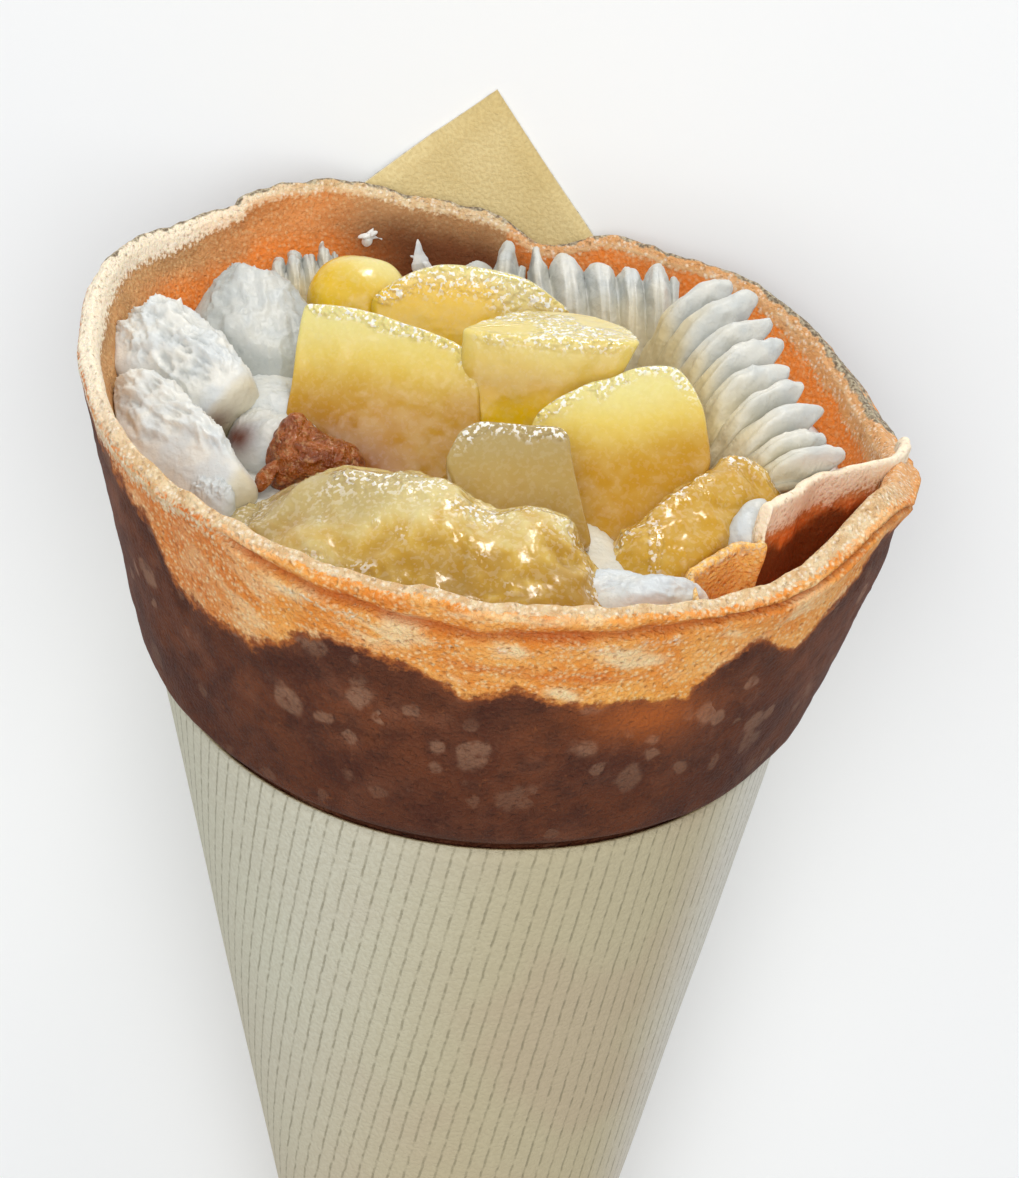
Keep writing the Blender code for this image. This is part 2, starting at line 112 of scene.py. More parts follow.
def value_noise(points, size, seed=0):
    """From 0 to 1: random values at a lattice of this cell size, blended by cubic steps."""
    place = np.asarray(points) / np.asarray(size) + 7.31 * seed
    cell = np.floor(place).astype(int)
    part = place - cell
    part = part * part * (3 - 2 * part)
    total = 0.0
    for corner in itertools.product((0, 1), repeat=3):
        index = (cell + corner) % CELLS
        weight = np.prod(np.where(corner, part, 1 - part), axis=-1)
        total = total + weight * LATTICE[index[..., 0], index[..., 1], index[..., 2]]
    return total


def rough(points, size, seed=0, octaves=3):
    """From about -1 to 1: noise plus finer noise of half the size and strength, over again."""
    size = np.asarray(size, float)
    total, most = 0.0, 0.0
    for level in range(octaves):
        share = 0.5**level
        total = total + share * (2 * value_noise(points, size * share, seed + level) - 1)
        most += share
    return total / most * 1.4


def crests(points, size, seed=0):
    """From 0 to 1: sharp crests where smooth noise n crosses its middle, the cube of 1 - |2n - 1|."""
    return (1 - np.abs(2 * value_noise(points, size, seed) - 1)) ** 3


# Meshes -------------------------------------------------------------------------------------


def facing(grid):
    """Unit normals of a grid whose columns close up: cross products of its two differences."""
    along = np.gradient(grid, axis=0)
    around = np.roll(grid, -1, axis=1) - np.roll(grid, 1, axis=1)
    normal = np.cross(around, along)
    return normal / np.maximum(np.linalg.norm(normal, axis=-1, keepdims=True), 1e-9)


def outward(grid):
    """The same normals, turned to point away from the grid's middle."""
    normal = facing(grid)
    away = (normal * (grid - grid.mean(axis=(0, 1)))).sum()
    return normal if away > 0 else -normal


def closed_faces(rows, columns):
    """Quads between rows whose columns close up, and a fan of triangles to a pole at each end."""
    here = np.arange(columns)
    there = (here + 1) % columns
    low = (np.arange(rows - 1) * columns)[:, None]
    quads = np.stack([low + here, low + there, low + columns + there, low + columns + here], axis=-1)
    first, last = rows * columns, rows * columns + 1
    top = (rows - 1) * columns
    start = np.stack([np.full(columns, first), there, here], axis=-1)
    end = np.stack([np.full(columns, last), top + here, top + there], axis=-1)
    return quads.reshape(-1, 4).tolist() + start.tolist() + end.tolist()


def make_piece(name, nodes, material, grid, values=None, poles=None):
    """A closed surface from a grid of points. Values are named numbers, one for each point."""
    rows, columns = grid.shape[:2]
    if poles is None:
        poles = (grid[0].mean(axis=0), grid[-1].mean(axis=0))
    points = lay_down(np.concatenate([grid.reshape(-1, 3), np.array(poles, float)]))
    faces = closed_faces(rows, columns)
    corners = points[np.array(faces[: (rows - 1) * columns])]
    ahead = np.cross(corners[:, 1] - corners[:, 0], corners[:, 2] - corners[:, 0])
    if (corners[:, 0] * ahead).sum() < 0:
        faces = [face[::-1] for face in faces]
    mesh = bpy.data.meshes.new(name)
    mesh.from_pydata(points.tolist(), [], faces)
    for label, numbers in (values or {}).items():
        numbers = np.broadcast_to(numbers, (rows, columns))
        ends = [numbers[0].mean(), numbers[-1].mean()]
        stored = mesh.attributes.new(label, "FLOAT", "POINT")
        stored.data.foreach_set("value", np.concatenate([numbers.ravel(), ends]).astype(np.float32))
    mesh.shade_smooth()
    mesh.materials.append(material)
    piece = bpy.data.objects.new(name, mesh)
    bpy.context.scene.collection.objects.link(piece)
    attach(piece, "root")
    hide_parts(*nodes)


# Material nodes -----------------------------------------------------------------------------


def colour(code):
    """Linear colour from a web colour code."""
    parts = np.array([int(code[i : i + 2], 16) for i in (1, 3, 5)]) / 255
    linear = np.where(parts <= 0.04045, parts / 12.92, ((parts + 0.055) / 1.055) ** 2.4)
    return (*linear.tolist(), 1.0)


def place(tree, kind, inputs=None, **settings):
    """Adds a node, then joins or sets each input, given by its name or its number."""
    node = tree.nodes.new(kind)
    for key, value in settings.items():
        setattr(node, key, value)
    for key, value in (inputs or {}).items():
        if isinstance(value, bpy.types.NodeSocket):
            tree.links.new(value, node.inputs[key])
        else:
            node.inputs[key].default_value = value
    return node


def maths(tree, operation, *values, clamp=False):
    """The result of a maths node."""
    node = place(tree, "ShaderNodeMath", dict(enumerate(values)), operation=operation, use_clamp=clamp)
    return node.outputs[0]


def attribute(tree, name):
    """One of the numbers that a piece holds for each of its points."""
    return place(tree, "ShaderNodeAttribute", attribute_name=name).outputs["Fac"]


def step_node(tree, value, low, high):
    """0 below low, 1 above high and a smooth step between."""
    inputs = {0: value, 1: low, 2: high}
    return place(tree, "ShaderNodeMapRange", inputs, interpolation_type="SMOOTHSTEP").outputs[0]


def blend(tree, factor, first, second):
    """Colour between first and second."""
    inputs = {"Factor": factor, 6: first, 7: second}
    return place(tree, "ShaderNodeMix", inputs, data_type="RGBA").outputs[2]


def two_tone(tree, mask, first, second):
    """The first colour code, and the second where the mask is set."""
    return blend(tree, mask, colour(first), colour(second))


def tint(tree, base, mask, code, strength=None):
    """The base, turned towards this colour where the mask is set, by no more than the strength."""
    if strength is not None:
        mask = maths(tree, "MULTIPLY", mask, strength)
    return blend(tree, mask, base, colour(code))


def grainy(tree, ramp, grain, share=0.5, low=0.36):
    """A ramp of 0 to 1 turned into a ragged edge: fine grain is added, then it is stepped."""
    shifted = maths(tree, "MULTIPLY_ADD", maths(tree, "SUBTRACT", grain, 0.5), share, ramp)
    return step_node(tree, shifted, low, 1 - low)


def new_material(name, **sockets):
    """A Principled material, with these values on its own sockets."""
    material = bpy.data.materials.new(name)
    material.use_nodes = True
    tree = material.node_tree
    shader = tree.nodes["Principled BSDF"]
    for label, value in sockets.items():
        shader.inputs[label.replace("_", " ")].default_value = value
    return material, tree, shader


def finish_colour(tree, shader, value):
    """Gives the shader its colour."""
    tree.links.new(value, shader.inputs["Base Color"])


def relief(tree, shader, height, depth):
    """Gives the shader bumps of this depth in millimetres."""
    node = place(tree, "ShaderNodeBump", {"Height": height, "Distance": depth * MM})
    tree.links.new(node.outputs[0], shader.inputs["Normal"])


def new_group(name, numbers):
    """A node group with number inputs and their usual values, a scale in millimetres and a mask."""
    tree = bpy.data.node_groups.new(name, "ShaderNodeTree")
    for label, usual in numbers.items():
        socket = tree.interface.new_socket(label, in_out="INPUT", socket_type="NodeSocketFloat")
        socket.default_value = usual
    tree.interface.new_socket("Mask", in_out="OUTPUT", socket_type="NodeSocketFloat")
    given, made = tree.nodes.new("NodeGroupInput").outputs, tree.nodes.new("NodeGroupOutput").inputs
    where = place(tree, "ShaderNodeTexCoord").outputs["Object"]
    return tree, given, made, where, maths(tree, "DIVIDE", 1 / MM, given["Size"])


def build_mottle():
    """Soft patches: noise of this size in millimetres, stepped between Low and High."""
    usual = {"Size": 5.0, "Detail": 3.0, "Low": 0.4, "High": 0.6}
    tree, given, made, where, scale = new_group("mottle", usual)
    noise = place(tree, "ShaderNodeTexNoise", {"Vector": where, "Scale": scale, "Detail": given["Detail"]})
    tree.links.new(step_node(tree, noise.outputs[0], given["Low"], given["High"]), made["Mask"])
    return tree


def build_spots():
    """Round spots at random: cells of this size, each with a spot out to Reach, in a Share of the
    cells. Noise pushes the cells about, so that the spots are uneven."""
    tree, given, made, where, scale = new_group("spots", {"Size": 5.0, "Reach": 0.3, "Share": 0.5})
    finer = maths(tree, "MULTIPLY", scale, 1.9)
    wobble = place(tree, "ShaderNodeTexNoise", {"Vector": where, "Scale": finer})
    reach = maths(tree, "MULTIPLY", given["Size"], 0.55 * MM)
    shift = place(tree, "ShaderNodeVectorMath", {0: wobble.outputs[1], "Scale": reach}, operation="SCALE")
    moved = place(tree, "ShaderNodeVectorMath", {0: where, 1: shift.outputs[0]}, operation="ADD")
    cells = place(tree, "ShaderNodeTexVoronoi", {"Vector": moved.outputs[0], "Scale": scale})
    near = maths(tree, "SUBTRACT", 1.0, step_node(tree, cells.outputs["Distance"], 0.0, given["Reach"]))
    pick = place(tree, "ShaderNodeSeparateColor", {0: cells.outputs["Color"]}).outputs[0]
    chosen = maths(tree, "LESS_THAN", pick, given["Share"])
    tree.links.new(maths(tree, "MULTIPLY", near, chosen), made["Mask"])
    return tree


MOTTLE = build_mottle()
SPOTS = build_spots()


def mottle(tree, size, low=0.4, high=0.6, detail=3.0):
    """The mask of soft patches of this size in millimetres."""
    inputs = {"Size": size, "Detail": detail, "Low": low, "High": high}
    return place(tree, "ShaderNodeGroup", inputs, node_tree=MOTTLE).outputs["Mask"]


def spots(tree, size, reach, share=1.0):
    """The mask of round spots in cells of this size in millimetres."""
    inputs = {"Size": size, "Reach": reach, "Share": share}
    return place(tree, "ShaderNodeGroup", inputs, node_tree=SPOTS).outputs["Mask"]


# Materials ----------------------------------------------------------------------------------

STRIPE_STEP = 1.88  # from one stripe of the paper to the next, in millimetres


def stripes(tree, across, along):
    """The mask of the paper's stripes: thin lines at every step across, which wander a little
    and are broken into dashes along them."""
    line_place = place(tree, "ShaderNodeCombineXYZ", {0: maths(tree, "MULTIPLY", along, 0.5)})
    inputs = {"Vector": line_place.outputs[0], "Scale": 1.0, "Detail": 2.0}
    wander = place(tree, "ShaderNodeTexNoise", inputs)
    bent = maths(tree, "MULTIPLY_ADD", wander.outputs[0], 0.5, across)
    turn = maths(tree, "FRACT", maths(tree, "DIVIDE", bent, STRIPE_STEP))
    away = maths(tree, "ABSOLUTE", maths(tree, "SUBTRACT", turn, 0.5))
    line = maths(tree, "SUBTRACT", 1.0, step_node(tree, away, 0.02, 0.12))
    dash_place = place(tree, "ShaderNodeCombineXYZ", {0: maths(tree, "MULTIPLY", along, 0.7), 1: across})
    inputs = {"Vector": dash_place.outputs[0], "Scale": 1.0, "Detail": 3.0}
    dash = place(tree, "ShaderNodeTexNoise", inputs)
    return maths(tree, "MULTIPLY", line, step_node(tree, dash.outputs[0], 0.25, 0.65))


def paper_material():
    """Kraft paper: fibres all over, and outside thin broken stripes across the unrolled sheet. It
    is lighter at the left and right, where light is painted on, and warmer towards the tip."""
    material, tree, shader = new_material("striped kraft paper", Roughness=0.85)
    outside = attribute(tree, "outside")
    across, along = attribute(tree, "across"), attribute(tree, "along")
    fibre = mottle(tree, 0.5, 0.3, 0.7)
    cloud = mottle(tree, 26.0, 0.4, 0.6)
    plain = tint(tree, two_tone(tree, cloud, "#E3CE96", "#D6BE82"), fibre, "#BFA063", 0.35)
    shown = two_tone(tree, cloud, "#C4B896", "#C2B192")
    # Painted light: the outer face lighter towards its left and right sides.
    shown = tint(tree, shown, step_node(tree, across, -20.0, -52.0), "#DADAC8", 0.7)
    shown = tint(tree, shown, step_node(tree, across, -4.0, 12.0), "#E8E6DE", 0.8)
    shown = tint(tree, shown, fibre, "#A99B7A", 0.22)
    shown = tint(tree, shown, step_node(tree, along, 150.0, 60.0), "#CDB18A", 0.4)
    line = stripes(tree, across, along)
    striped = tint(tree, shown, line, "#7F7659", 0.6)
    finish_colour(tree, shader, blend(tree, outside, plain, striped))
    groove = maths(tree, "MULTIPLY", line, maths(tree, "MULTIPLY", outside, -0.6))
    relief(tree, shader, maths(tree, "ADD", groove, maths(tree, "MULTIPLY", fibre, 0.5)), 0.12)
    return material


def dark_face(tree, grain):
    """The crepe's outer face below its band: brown patches of four sizes under pale round spots,
    then the painted shade at the sides, the scorched places with painted shade along the paper,
    and the painted glow."""
    brown = two_tone(tree, mottle(tree, 7.0, 0.35, 0.65), "#532818", "#6E3B22")
    brown = tint(tree, brown, mottle(tree, 12.0, 0.44, 0.66), "#7C4120", 0.5)
    brown = tint(tree, brown, mottle(tree, 5.0, 0.52, 0.74, 5.0), "#8C5940", 0.45)
    brown = tint(tree, brown, mottle(tree, 2.4, 0.45, 0.7, 5.0), "#3B1D14", 0.5)
    brown = tint(tree, brown, grain, "#7D543D", 0.2)
    scorch_and_shade = attribute(tree, "scorch_and_shade")
    pale = maths(tree, "MAXIMUM", spots(tree, 6.4, 0.48, 0.4), spots(tree, 3.4, 0.46, 0.28))
    pale = maths(tree, "MULTIPLY", step_node(tree, pale, 0.12, 0.5), mottle(tree, 0.9, 0.2, 0.5))
    pale = maths(tree, "MULTIPLY", pale, maths(tree, "SUBTRACT", 0.62, scorch_and_shade), clamp=True)
    brown = tint(tree, brown, pale, "#A27A60")
    brown = tint(tree, brown, attribute(tree, "shade"), "#6E463A")
    # Scorch, with painted shade along the paper's edge.
    brown = tint(tree, brown, scorch_and_shade, "#3E1D10")
    # Painted glow: light shining through the crepe, painted into its colour.
    return tint(tree, brown, attribute(tree, "painted_glow"), "#C4682A")


def orange_band(tree, grain, dots):
    """The orange band under the rim: streaked along the rim, ruddy where it isn't faded, lit by a
    painted glow, and porous, with painted shade in the crease over the outer layer's edge."""
    streak, faded = attribute(tree, "streak"), attribute(tree, "faded")
    orange = two_tone(tree, mottle(tree, 5.0, 0.35, 0.65), "#EA8A30", "#F5A852")
    orange = tint(tree, orange, step_node(tree, streak, 0.42, 0.12), "#DC7426")
    orange = tint(tree, orange, step_node(tree, faded, 0.8, 0.35), "#D87434", 0.75)
    light = maths(tree, "MULTIPLY", step_node(tree, streak, 0.52, 0.8), faded)
    orange = tint(tree, orange, light, "#F9D7A4")
    # Painted glow of light shining through the band.
    orange = tint(tree, orange, attribute(tree, "painted_glow"), "#FFBE4C")
    orange = tint(tree, orange, grain, "#FFD48A", 0.2)
    orange = tint(tree, orange, spots(tree, 0.9, 0.42, 0.7), "#B45C18", 0.45)
    orange = tint(tree, orange, dots, "#FFE9B4", 0.6)
    # Painted shade in the groove over the outer layer's edge.
    return tint(tree, orange, attribute(tree, "crease_shade"), "#B8622A")


def inner_wall(tree, grain, dots, deep):
    """The crepe's inner face: tan, orange where it is deep, on the right also as a painted glow of
    light shining through, porous, and brown under painted shadow and a grey tinge at the top left.
    """
    tan = two_tone(tree, mottle(tree, 6.0, 0.35, 0.65), "#B98756", "#D29C66")
    # Deep orange; on the right it is also a painted glow of light shining through the wall.
    tan = tint(tree, tan, deep, "#F5862E")
    tan = tint(tree, tan, grain, "#F4CF9C", 0.14)
    tan = tint(tree, tan, spots(tree, 1.1, 0.42, 0.5), "#9A5524", 0.4)
    tan = tint(tree, tan, dots, "#FBDCA6", 0.35)
    # Painted shadow at the back and in the flap's pocket, and a grey tinge at the top left.
    return tint(tree, tan, attribute(tree, "shadow_and_grey"), "#63351A")


def pale_edge(tree, coarse, dots, deep):
    """The porous crumb of the edge: sandy, almost white where light is painted on it, and orange where
    deep.
    """
    crumb = two_tone(tree, coarse, "#D6AE7C", "#E8CFA6")
    # Painted light: the edge paled where light falls on it.
    crumb = tint(tree, crumb, attribute(tree, "painted_light_lip"), "#FFEFD4")
    # Deep orange on the right of the lip, partly a painted glow.
    crumb = tint(tree, crumb, deep, "#EAA05C", 0.75)
    crumb = tint(tree, crumb, spots(tree, 0.9, 0.42, 0.7), "#A47444", 0.5)
    return tint(tree, crumb, dots, "#FFF6E2", 0.7)


def crepe_material():
    """Browned batter: the dark face turns to the orange band over a ragged reddish border, the
    inner wall takes over inside, and the pale edge and its ashy fringe lie over both."""
    material, tree, shader = new_material(
        "baked crepe", Roughness=0.72, Specular_IOR_Level=0.2,
        Subsurface_Weight=0.08, Subsurface_Radius=(1.0, 0.35, 0.12), Subsurface_Scale=1.2 * MM,
    )  # fmt: skip
    grain, coarse = mottle(tree, 0.5, 0.32, 0.68), mottle(tree, 1.6, 0.3, 0.7, 4.0)
    dots = spots(tree, 0.6, 0.62, 0.75)
    inside, deep = attribute(tree, "inside"), attribute(tree, "deep")
    uneven = maths(tree, "ADD", maths(tree, "MULTIPLY", coarse, 0.26), maths(tree, "MULTIPLY", grain, 0.12))
    band = maths(tree, "ADD", attribute(tree, "band"), maths(tree, "SUBTRACT", uneven, 0.19))
    border = two_tone(tree, coarse, "#8E4A24", "#B5672E")
    face = blend(tree, step_node(tree, band, 0.12, 0.42), dark_face(tree, grain), border)
    face = blend(tree, step_node(tree, band, 0.36, 0.68), face, orange_band(tree, grain, dots))
    face = blend(tree, inside, face, inner_wall(tree, grain, dots, deep))
    edge = grainy(tree, attribute(tree, "lip"), grain, 0.4, 0.3)
    face = blend(tree, edge, face, pale_edge(tree, coarse, dots, deep))
    ash = two_tone(tree, grain, "#6F5F4C", "#C4B79C")
    face = blend(tree, grainy(tree, attribute(tree, "fringe"), coarse), face, ash)
    finish_colour(tree, shader, face)
    pits = maths(tree, "MULTIPLY", spots(tree, 0.9, 0.42, 0.8), -0.6)
    pores = maths(tree, "MULTIPLY_ADD", grain, 0.5, pits)
    calm = maths(tree, "MULTIPLY_ADD", inside, -0.5, 1.0)
    relief(tree, shader, maths(tree, "MULTIPLY", pores, calm), 0.3)
    return material


def cream_material():
    """Whipped cream: white, with painted cool shade between its crests, painted warm light where
    apple shines through, and painted shadow, brown, in a hollow."""
    material, tree, shader = new_material(
        "whipped cream", Roughness=0.42,
        Subsurface_Weight=0.25, Subsurface_Radius=(1.0, 0.95, 0.85), Subsurface_Scale=0.8 * MM,
    )  # fmt: skip
    white = two_tone(tree, mottle(tree, 4.0, 0.35, 0.65), "#E4E3DD", "#D3D8DA")
    # Painted cool shade, painted warm light and painted shadow in a hollow.
    for name, code in (("cool_shade", "#9EA4A4"), ("warm_light", "#DCC890"), ("hollow_shadow", "#5E2E1C")):
        white = tint(tree, white, attribute(tree, name), code)
    finish_colour(tree, shader, white)
    relief(tree, shader, mottle(tree, 1.0, 0.3, 0.7), 0.07)
    return material


def apple_material(name, light, middle, deep):
    """Cooked apple: pale, then yellow, then golden where it is thick, and golden as painted shade
    lower down. The deep yellow of painted shade, dull places that are partly painted shade and
    brown by the crumb lie over it, and painted white glints and beads where it is wet and shiny."""
    material, tree, shader = new_material(
        name, Roughness=0.22, Specular_IOR_Level=0.3, Coat_Roughness=0.04,
        Subsurface_Weight=0.25, Subsurface_Radius=(1.0, 0.7, 0.2), Subsurface_Scale=2.0 * MM,
    )  # fmt: skip
    gold, wet = attribute(tree, "gold"), attribute(tree, "wet")
    flesh = two_tone(tree, step_node(tree, gold, 0.0, 0.6), light, middle)
    flesh = tint(tree, flesh, step_node(tree, gold, 0.4, 1.0), deep)
    # Deep yellow of painted shade.
    flesh = tint(tree, flesh, attribute(tree, "shade_yellow"), "#ECBF00")
    flesh = tint(tree, flesh, mottle(tree, 2.2, 0.35, 0.7, 1.0), "#EFE4B0", 0.1)
    flesh = tint(tree, flesh, mottle(tree, 0.6, 0.4, 0.7, 2.0), "#B08A3C", 0.05)
    # Dull patches; on the clear slice, painted shade.
    flesh = tint(tree, flesh, attribute(tree, "dull_and_shade"), "#9E8552")
    # Browner by the crumb.
    flesh = tint(tree, flesh, attribute(tree, "crumb_brown"), "#9A5A2C")
    # Painted glints: white specks where it is wet.
    painted_glints = maths(tree, "MULTIPLY", wet, mottle(tree, 0.55, 0.53, 0.6, 1.0))
    finish_colour(tree, shader, tint(tree, flesh, painted_glints, "#FFFDF6", 0.85))
    beads = mottle(tree, 0.9, 0.15, 0.85, 1.0)
    soft = maths(tree, "MULTIPLY", mottle(tree, 3.0, 0.1, 0.9, 1.0), 0.3)
    relief(tree, shader, maths(tree, "MULTIPLY_ADD", beads, wet, soft), 0.5)
    tree.links.new(maths(tree, "MULTIPLY_ADD", wet, 0.8, 0.2), shader.inputs["Coat Weight"])
    return material


def crumb_material():
    """Caramel crumb: reddish brown, coarse and moist."""
    material, tree, shader = new_material(
        "caramel crumb", Roughness=0.35, Subsurface_Weight=0.15, Subsurface_Scale=1.0 * MM
    )
    dark = two_tone(tree, mottle(tree, 2.2, 0.35, 0.65), "#7E3A0C", "#A05414")
    finish_colour(tree, shader, tint(tree, dark, mottle(tree, 0.8, 0.5, 0.7), "#C89868", 0.5))
    relief(tree, shader, mottle(tree, 1.0, 0.35, 0.65), 0.4)
    return material


PAPER = paper_material()
CREPE = crepe_material()
CREAM = cream_material()
APPLE = apple_material("cooked apple", "#E2D68C", "#DCBF58", "#B98612")
CLEAR_APPLE = apple_material("clear cooked apple", "#D6C486", "#C8A244", "#A97E1E")
GOLD_APPLE = apple_material("golden apple glaze", "#E2D092", "#DCB656", "#C4962C")
APPLES = {"pale": APPLE, "clear": CLEAR_APPLE, "gold": GOLD_APPLE}
CRUMB = crumb_material()


# Paper sleeve -------------------------------------------------------------------------------

PAPER_SHEET, PAPER_SAG = 0.55, 0.22
NOSE_SLANT = 5.0
CORNER_SLANT, CORNER_TURN = 247.0, math.radians(2.6)
LEFT_FALL, RIGHT_FALL = math.radians(37.4), math.radians(53.2)
FRONT_SLANT, FRONT_TURN = 177.0, math.radians(13.0)
SEAM = math.pi + math.radians(62.6)
SEAM_STEP, SEAM_HALF = 0.5, 0.004  # the free edge's height, and half the width of its step
STRIPE_TURN = math.radians(49.0)  # azimuth of the stripe that runs straight to the tip


def sleeve_edge(azimuth):
    """Slant of the sheet's edge: straight cuts c cos(f) / cos(u - f) of the unrolled sheet."""
    unroll = math.sin(HALF_ANGLE)
    from_corner = wrapped(azimuth - math.pi - CORNER_TURN) * unroll
    fall = np.where(from_corner > 0, LEFT_FALL, RIGHT_FALL)
    corner = CORNER_SLANT * np.cos(fall) / np.cos(np.abs(from_corner) - fall)
    front = FRONT_SLANT / np.cos(wrapped(azimuth - FRONT_TURN) * unroll)
    side = smooth(math.radians(35), math.radians(90), np.abs(wrapped(azimuth - math.pi)))
    return corner * (1 - side) + front * side


def build_sleeve():
    """The outer face from tip to edge, then the inner face back down: both on straight lines of
    the cone, with a step where the sheet's free edge lies over its start, and a slight sag."""
    turn = np.linspace(3 * SEAM_HALF, 2 * math.pi - 3 * SEAM_HALF, 470)
    azimuth = SEAM + np.concatenate([[SEAM_HALF], turn, [-SEAM_HALF]])
    azimuth = np.unique(np.append(azimuth % (2 * math.pi), math.pi + CORNER_TURN))
    azimuth = np.roll(azimuth, -int(np.searchsorted(azimuth, SEAM % (2 * math.pi))))
    edge = sleeve_edge(azimuth) * COS_HALF
    past = wrapped(azimuth - SEAM)
    lift = SEAM_STEP * smooth(-SEAM_HALF, SEAM_HALF, past) * (1 - smooth(0.1, 0.6, past))
    share = np.concatenate([[0.0], np.linspace(0.02, 1.0, 60) ** 0.8])[:, None]
    height = NOSE_SLANT + (edge - NOSE_SLANT) * share
    flat_off = smooth(math.radians(20), math.radians(50), np.abs(wrapped(azimuth - math.pi)))
    sag = PAPER_SAG * rough(on_cone(azimuth, height, 0.0), 34, 3, 2)
    sag = sag * flat_off * smooth(0.0, 0.25, share)
    outer = on_cone(azimuth, height, lift + sag)
    inner = on_cone(azimuth, height, lift + sag - PAPER_SHEET)[::-1]
    grid = np.concatenate([outer, inner])
    rows = len(share)
    from_stripe = (azimuth - SEAM) % (2 * math.pi) + SEAM - 2 * math.pi - STRIPE_TURN
    unrolled = from_stripe * math.sin(HALF_ANGLE)
    slant = np.concatenate([height, height[::-1]]) / COS_HALF
    outside = np.concatenate([np.ones(rows), np.zeros(rows)])[:, None]
    values = {"outside": outside, "across": slant * np.sin(unrolled), "along": slant * np.cos(unrolled)}
    poles = ((0, 0, NOSE_SLANT - 1.2), (0, 0, NOSE_SLANT - 0.6))
    make_piece("striped_sleeve", ["paper_sleeve"], PAPER, grid, values, poles)


build_sleeve()


# Crepe --------------------------------------------------------------------------------------

SKIN = 0.6 / COS_HALF + 0.3  # from the paper's outer face to the crepe under it
CREPE_TIP, CREPE_FLOOR, DISH = 16.0, 46.0, 5.0
WALL, WALL_FULL = 3.6, 32.0  # the wall's thickness, and the depth from which it has it
RIM_HEIGHT, RIM_SLOPE, RIM_TURN = 216.7, 10.2, math.radians(22.0)
RIM_RADIUS = 48.0
# Waves of the rim in height, and bends of it in and out: centre and half width in degrees, reach.
RIM_WAVES = ((-100, 22, 3.5), (-142, 18, 2.2), (62, 11, 4.6), (108, 20, -5.2), (172, 8, -3.4))
RIM_BENDS = ((-130, 24, 1.6), (116, 25, 2.5), (172, 10, -2.5))
RIM_FLARE, RIM_FRONT, RIM_RIGHT, RIM_OVAL = 2.25, 2.0, 2.4, 1.0
TEAR_RISE, TEAR_START, TEAR_END = 1.1, (-133.2, -134.6), (-170, -150)
LIP, LIP_EXTRA, LIP_CENTRE, LIP_HALF = 2.4, 2.3, 88, 42
LIP_ROUND, LIP_SLOPE = 0.9, 0.3  # the rise of the lip's outer round, and of its slope by width
ACROSS_LIP = np.linspace(0.04, 0.96, 17)[:, None]
COLLAR, COLLAR_EASE, EDGE_CLEAR, BACKED_CLEAR = 10.0, 8.0, 0.4, 3.0
OVERHANG, NECK = 1.3, 1.1
FOOT_STEPS = (0.0, 0.008, 0.016, 0.026, 0.038, 0.052, 0.07, 0.09)
UPPER_ROWS = 7.0  # the outer face has close rows this far below the lip
LEDGE, LEDGE_FADE, GROOVE = 0.9, 9.0, 0.55  # how far the outer layer's edge stands out in front
# Where painted shadow falls on the back of the inner wall: its centre and half width.
SHADOW_CENTRE, SHADOW_HALF = math.radians(-171), math.radians(19)
# Azimuth in degrees and depth below the rim, in millimetres: the outer layer's edge, and where
# the orange band ends.
LEDGE_DEPTH = (
    (-180, 1), (-42, 1), (-36, 2.2), (-26, 3.2), (-15, 3.6), (-4, 4.6), (8, 3.8), (30, 2.6), (180, 2),
)  # fmt: skip
BAND_DEPTH = (
    (-180, 2), (-66, 2), (-57, 3.5), (-51, 6.5), (-48, 12), (-42, 14), (-34, 14), (-28, 11.4),
    (-19, 8), (-12, 8.8), (-6, 10.8), (-1, 11.6), (6, 9.2), (13, 11.6), (30, 12.2), (35, 7.6),
    (40, 5.6), (44, 8.5), (48, 11.5), (52, 8.5), (60, 6), (75, 4), (180, 3),
)  # fmt: skip


def rim_noise(azimuth, size, seed):
    """Noise round the rim: rough values read on a circle of the rim's radius."""
    ring = RIM_RADIUS * np.stack([np.sin(azimuth), np.cos(azimuth), np.zeros_like(azimuth)], axis=-1)
    return rough(ring, size, seed, 2)


def rim_height(azimuth):
    """A tilted circle, with the rim's waves as bells."""
    height = RIM_HEIGHT - RIM_SLOPE * np.cos(azimuth - RIM_TURN)
    for centre, half_width, rise in RIM_WAVES:
        height = height + rise * bump(azimuth, centre, half_width)
    return height


def ragged_rim(azimuth):
    """The rim's height with coarse and fine noise, and a torn step at the back left."""
    degrees = np.degrees(azimuth)
    ragged = 0.25 * rim_noise(azimuth, 2.6, 1) + 0.45 * rim_noise(azimuth, 9, 2)
    torn = smooth(*TEAR_START, degrees) * smooth(*TEAR_END, degrees)
    return rim_height(azimuth) + ragged + TEAR_RISE * torn


def rim_out(azimuth):
    """A slow wave of two harmonics, with bells where the rim bends in or out."""
    lean = RIM_FLARE + RIM_FRONT * np.cos(azimuth) + RIM_RIGHT * np.sin(azimuth)
    lean = lean - RIM_OVAL * np.cos(2 * azimuth)
    for centre, half_width, reach in RIM_BENDS:
        lean = lean + reach * bump(azimuth, centre, half_width)
    return lean


def lip_width(azimuth):
    """The lip's width, with a bell where it broadens on the right."""
    return LIP + LIP_EXTRA * bump(azimuth, LIP_CENTRE, LIP_HALF)


def free_share(azimuth):
    """1 where the crepe stands clear above the paper, 0 where the paper backs it."""
    above = rim_height(azimuth) - sleeve_edge(azimuth) * COS_HALF
    return smooth(COLLAR, COLLAR + COLLAR_EASE, above)


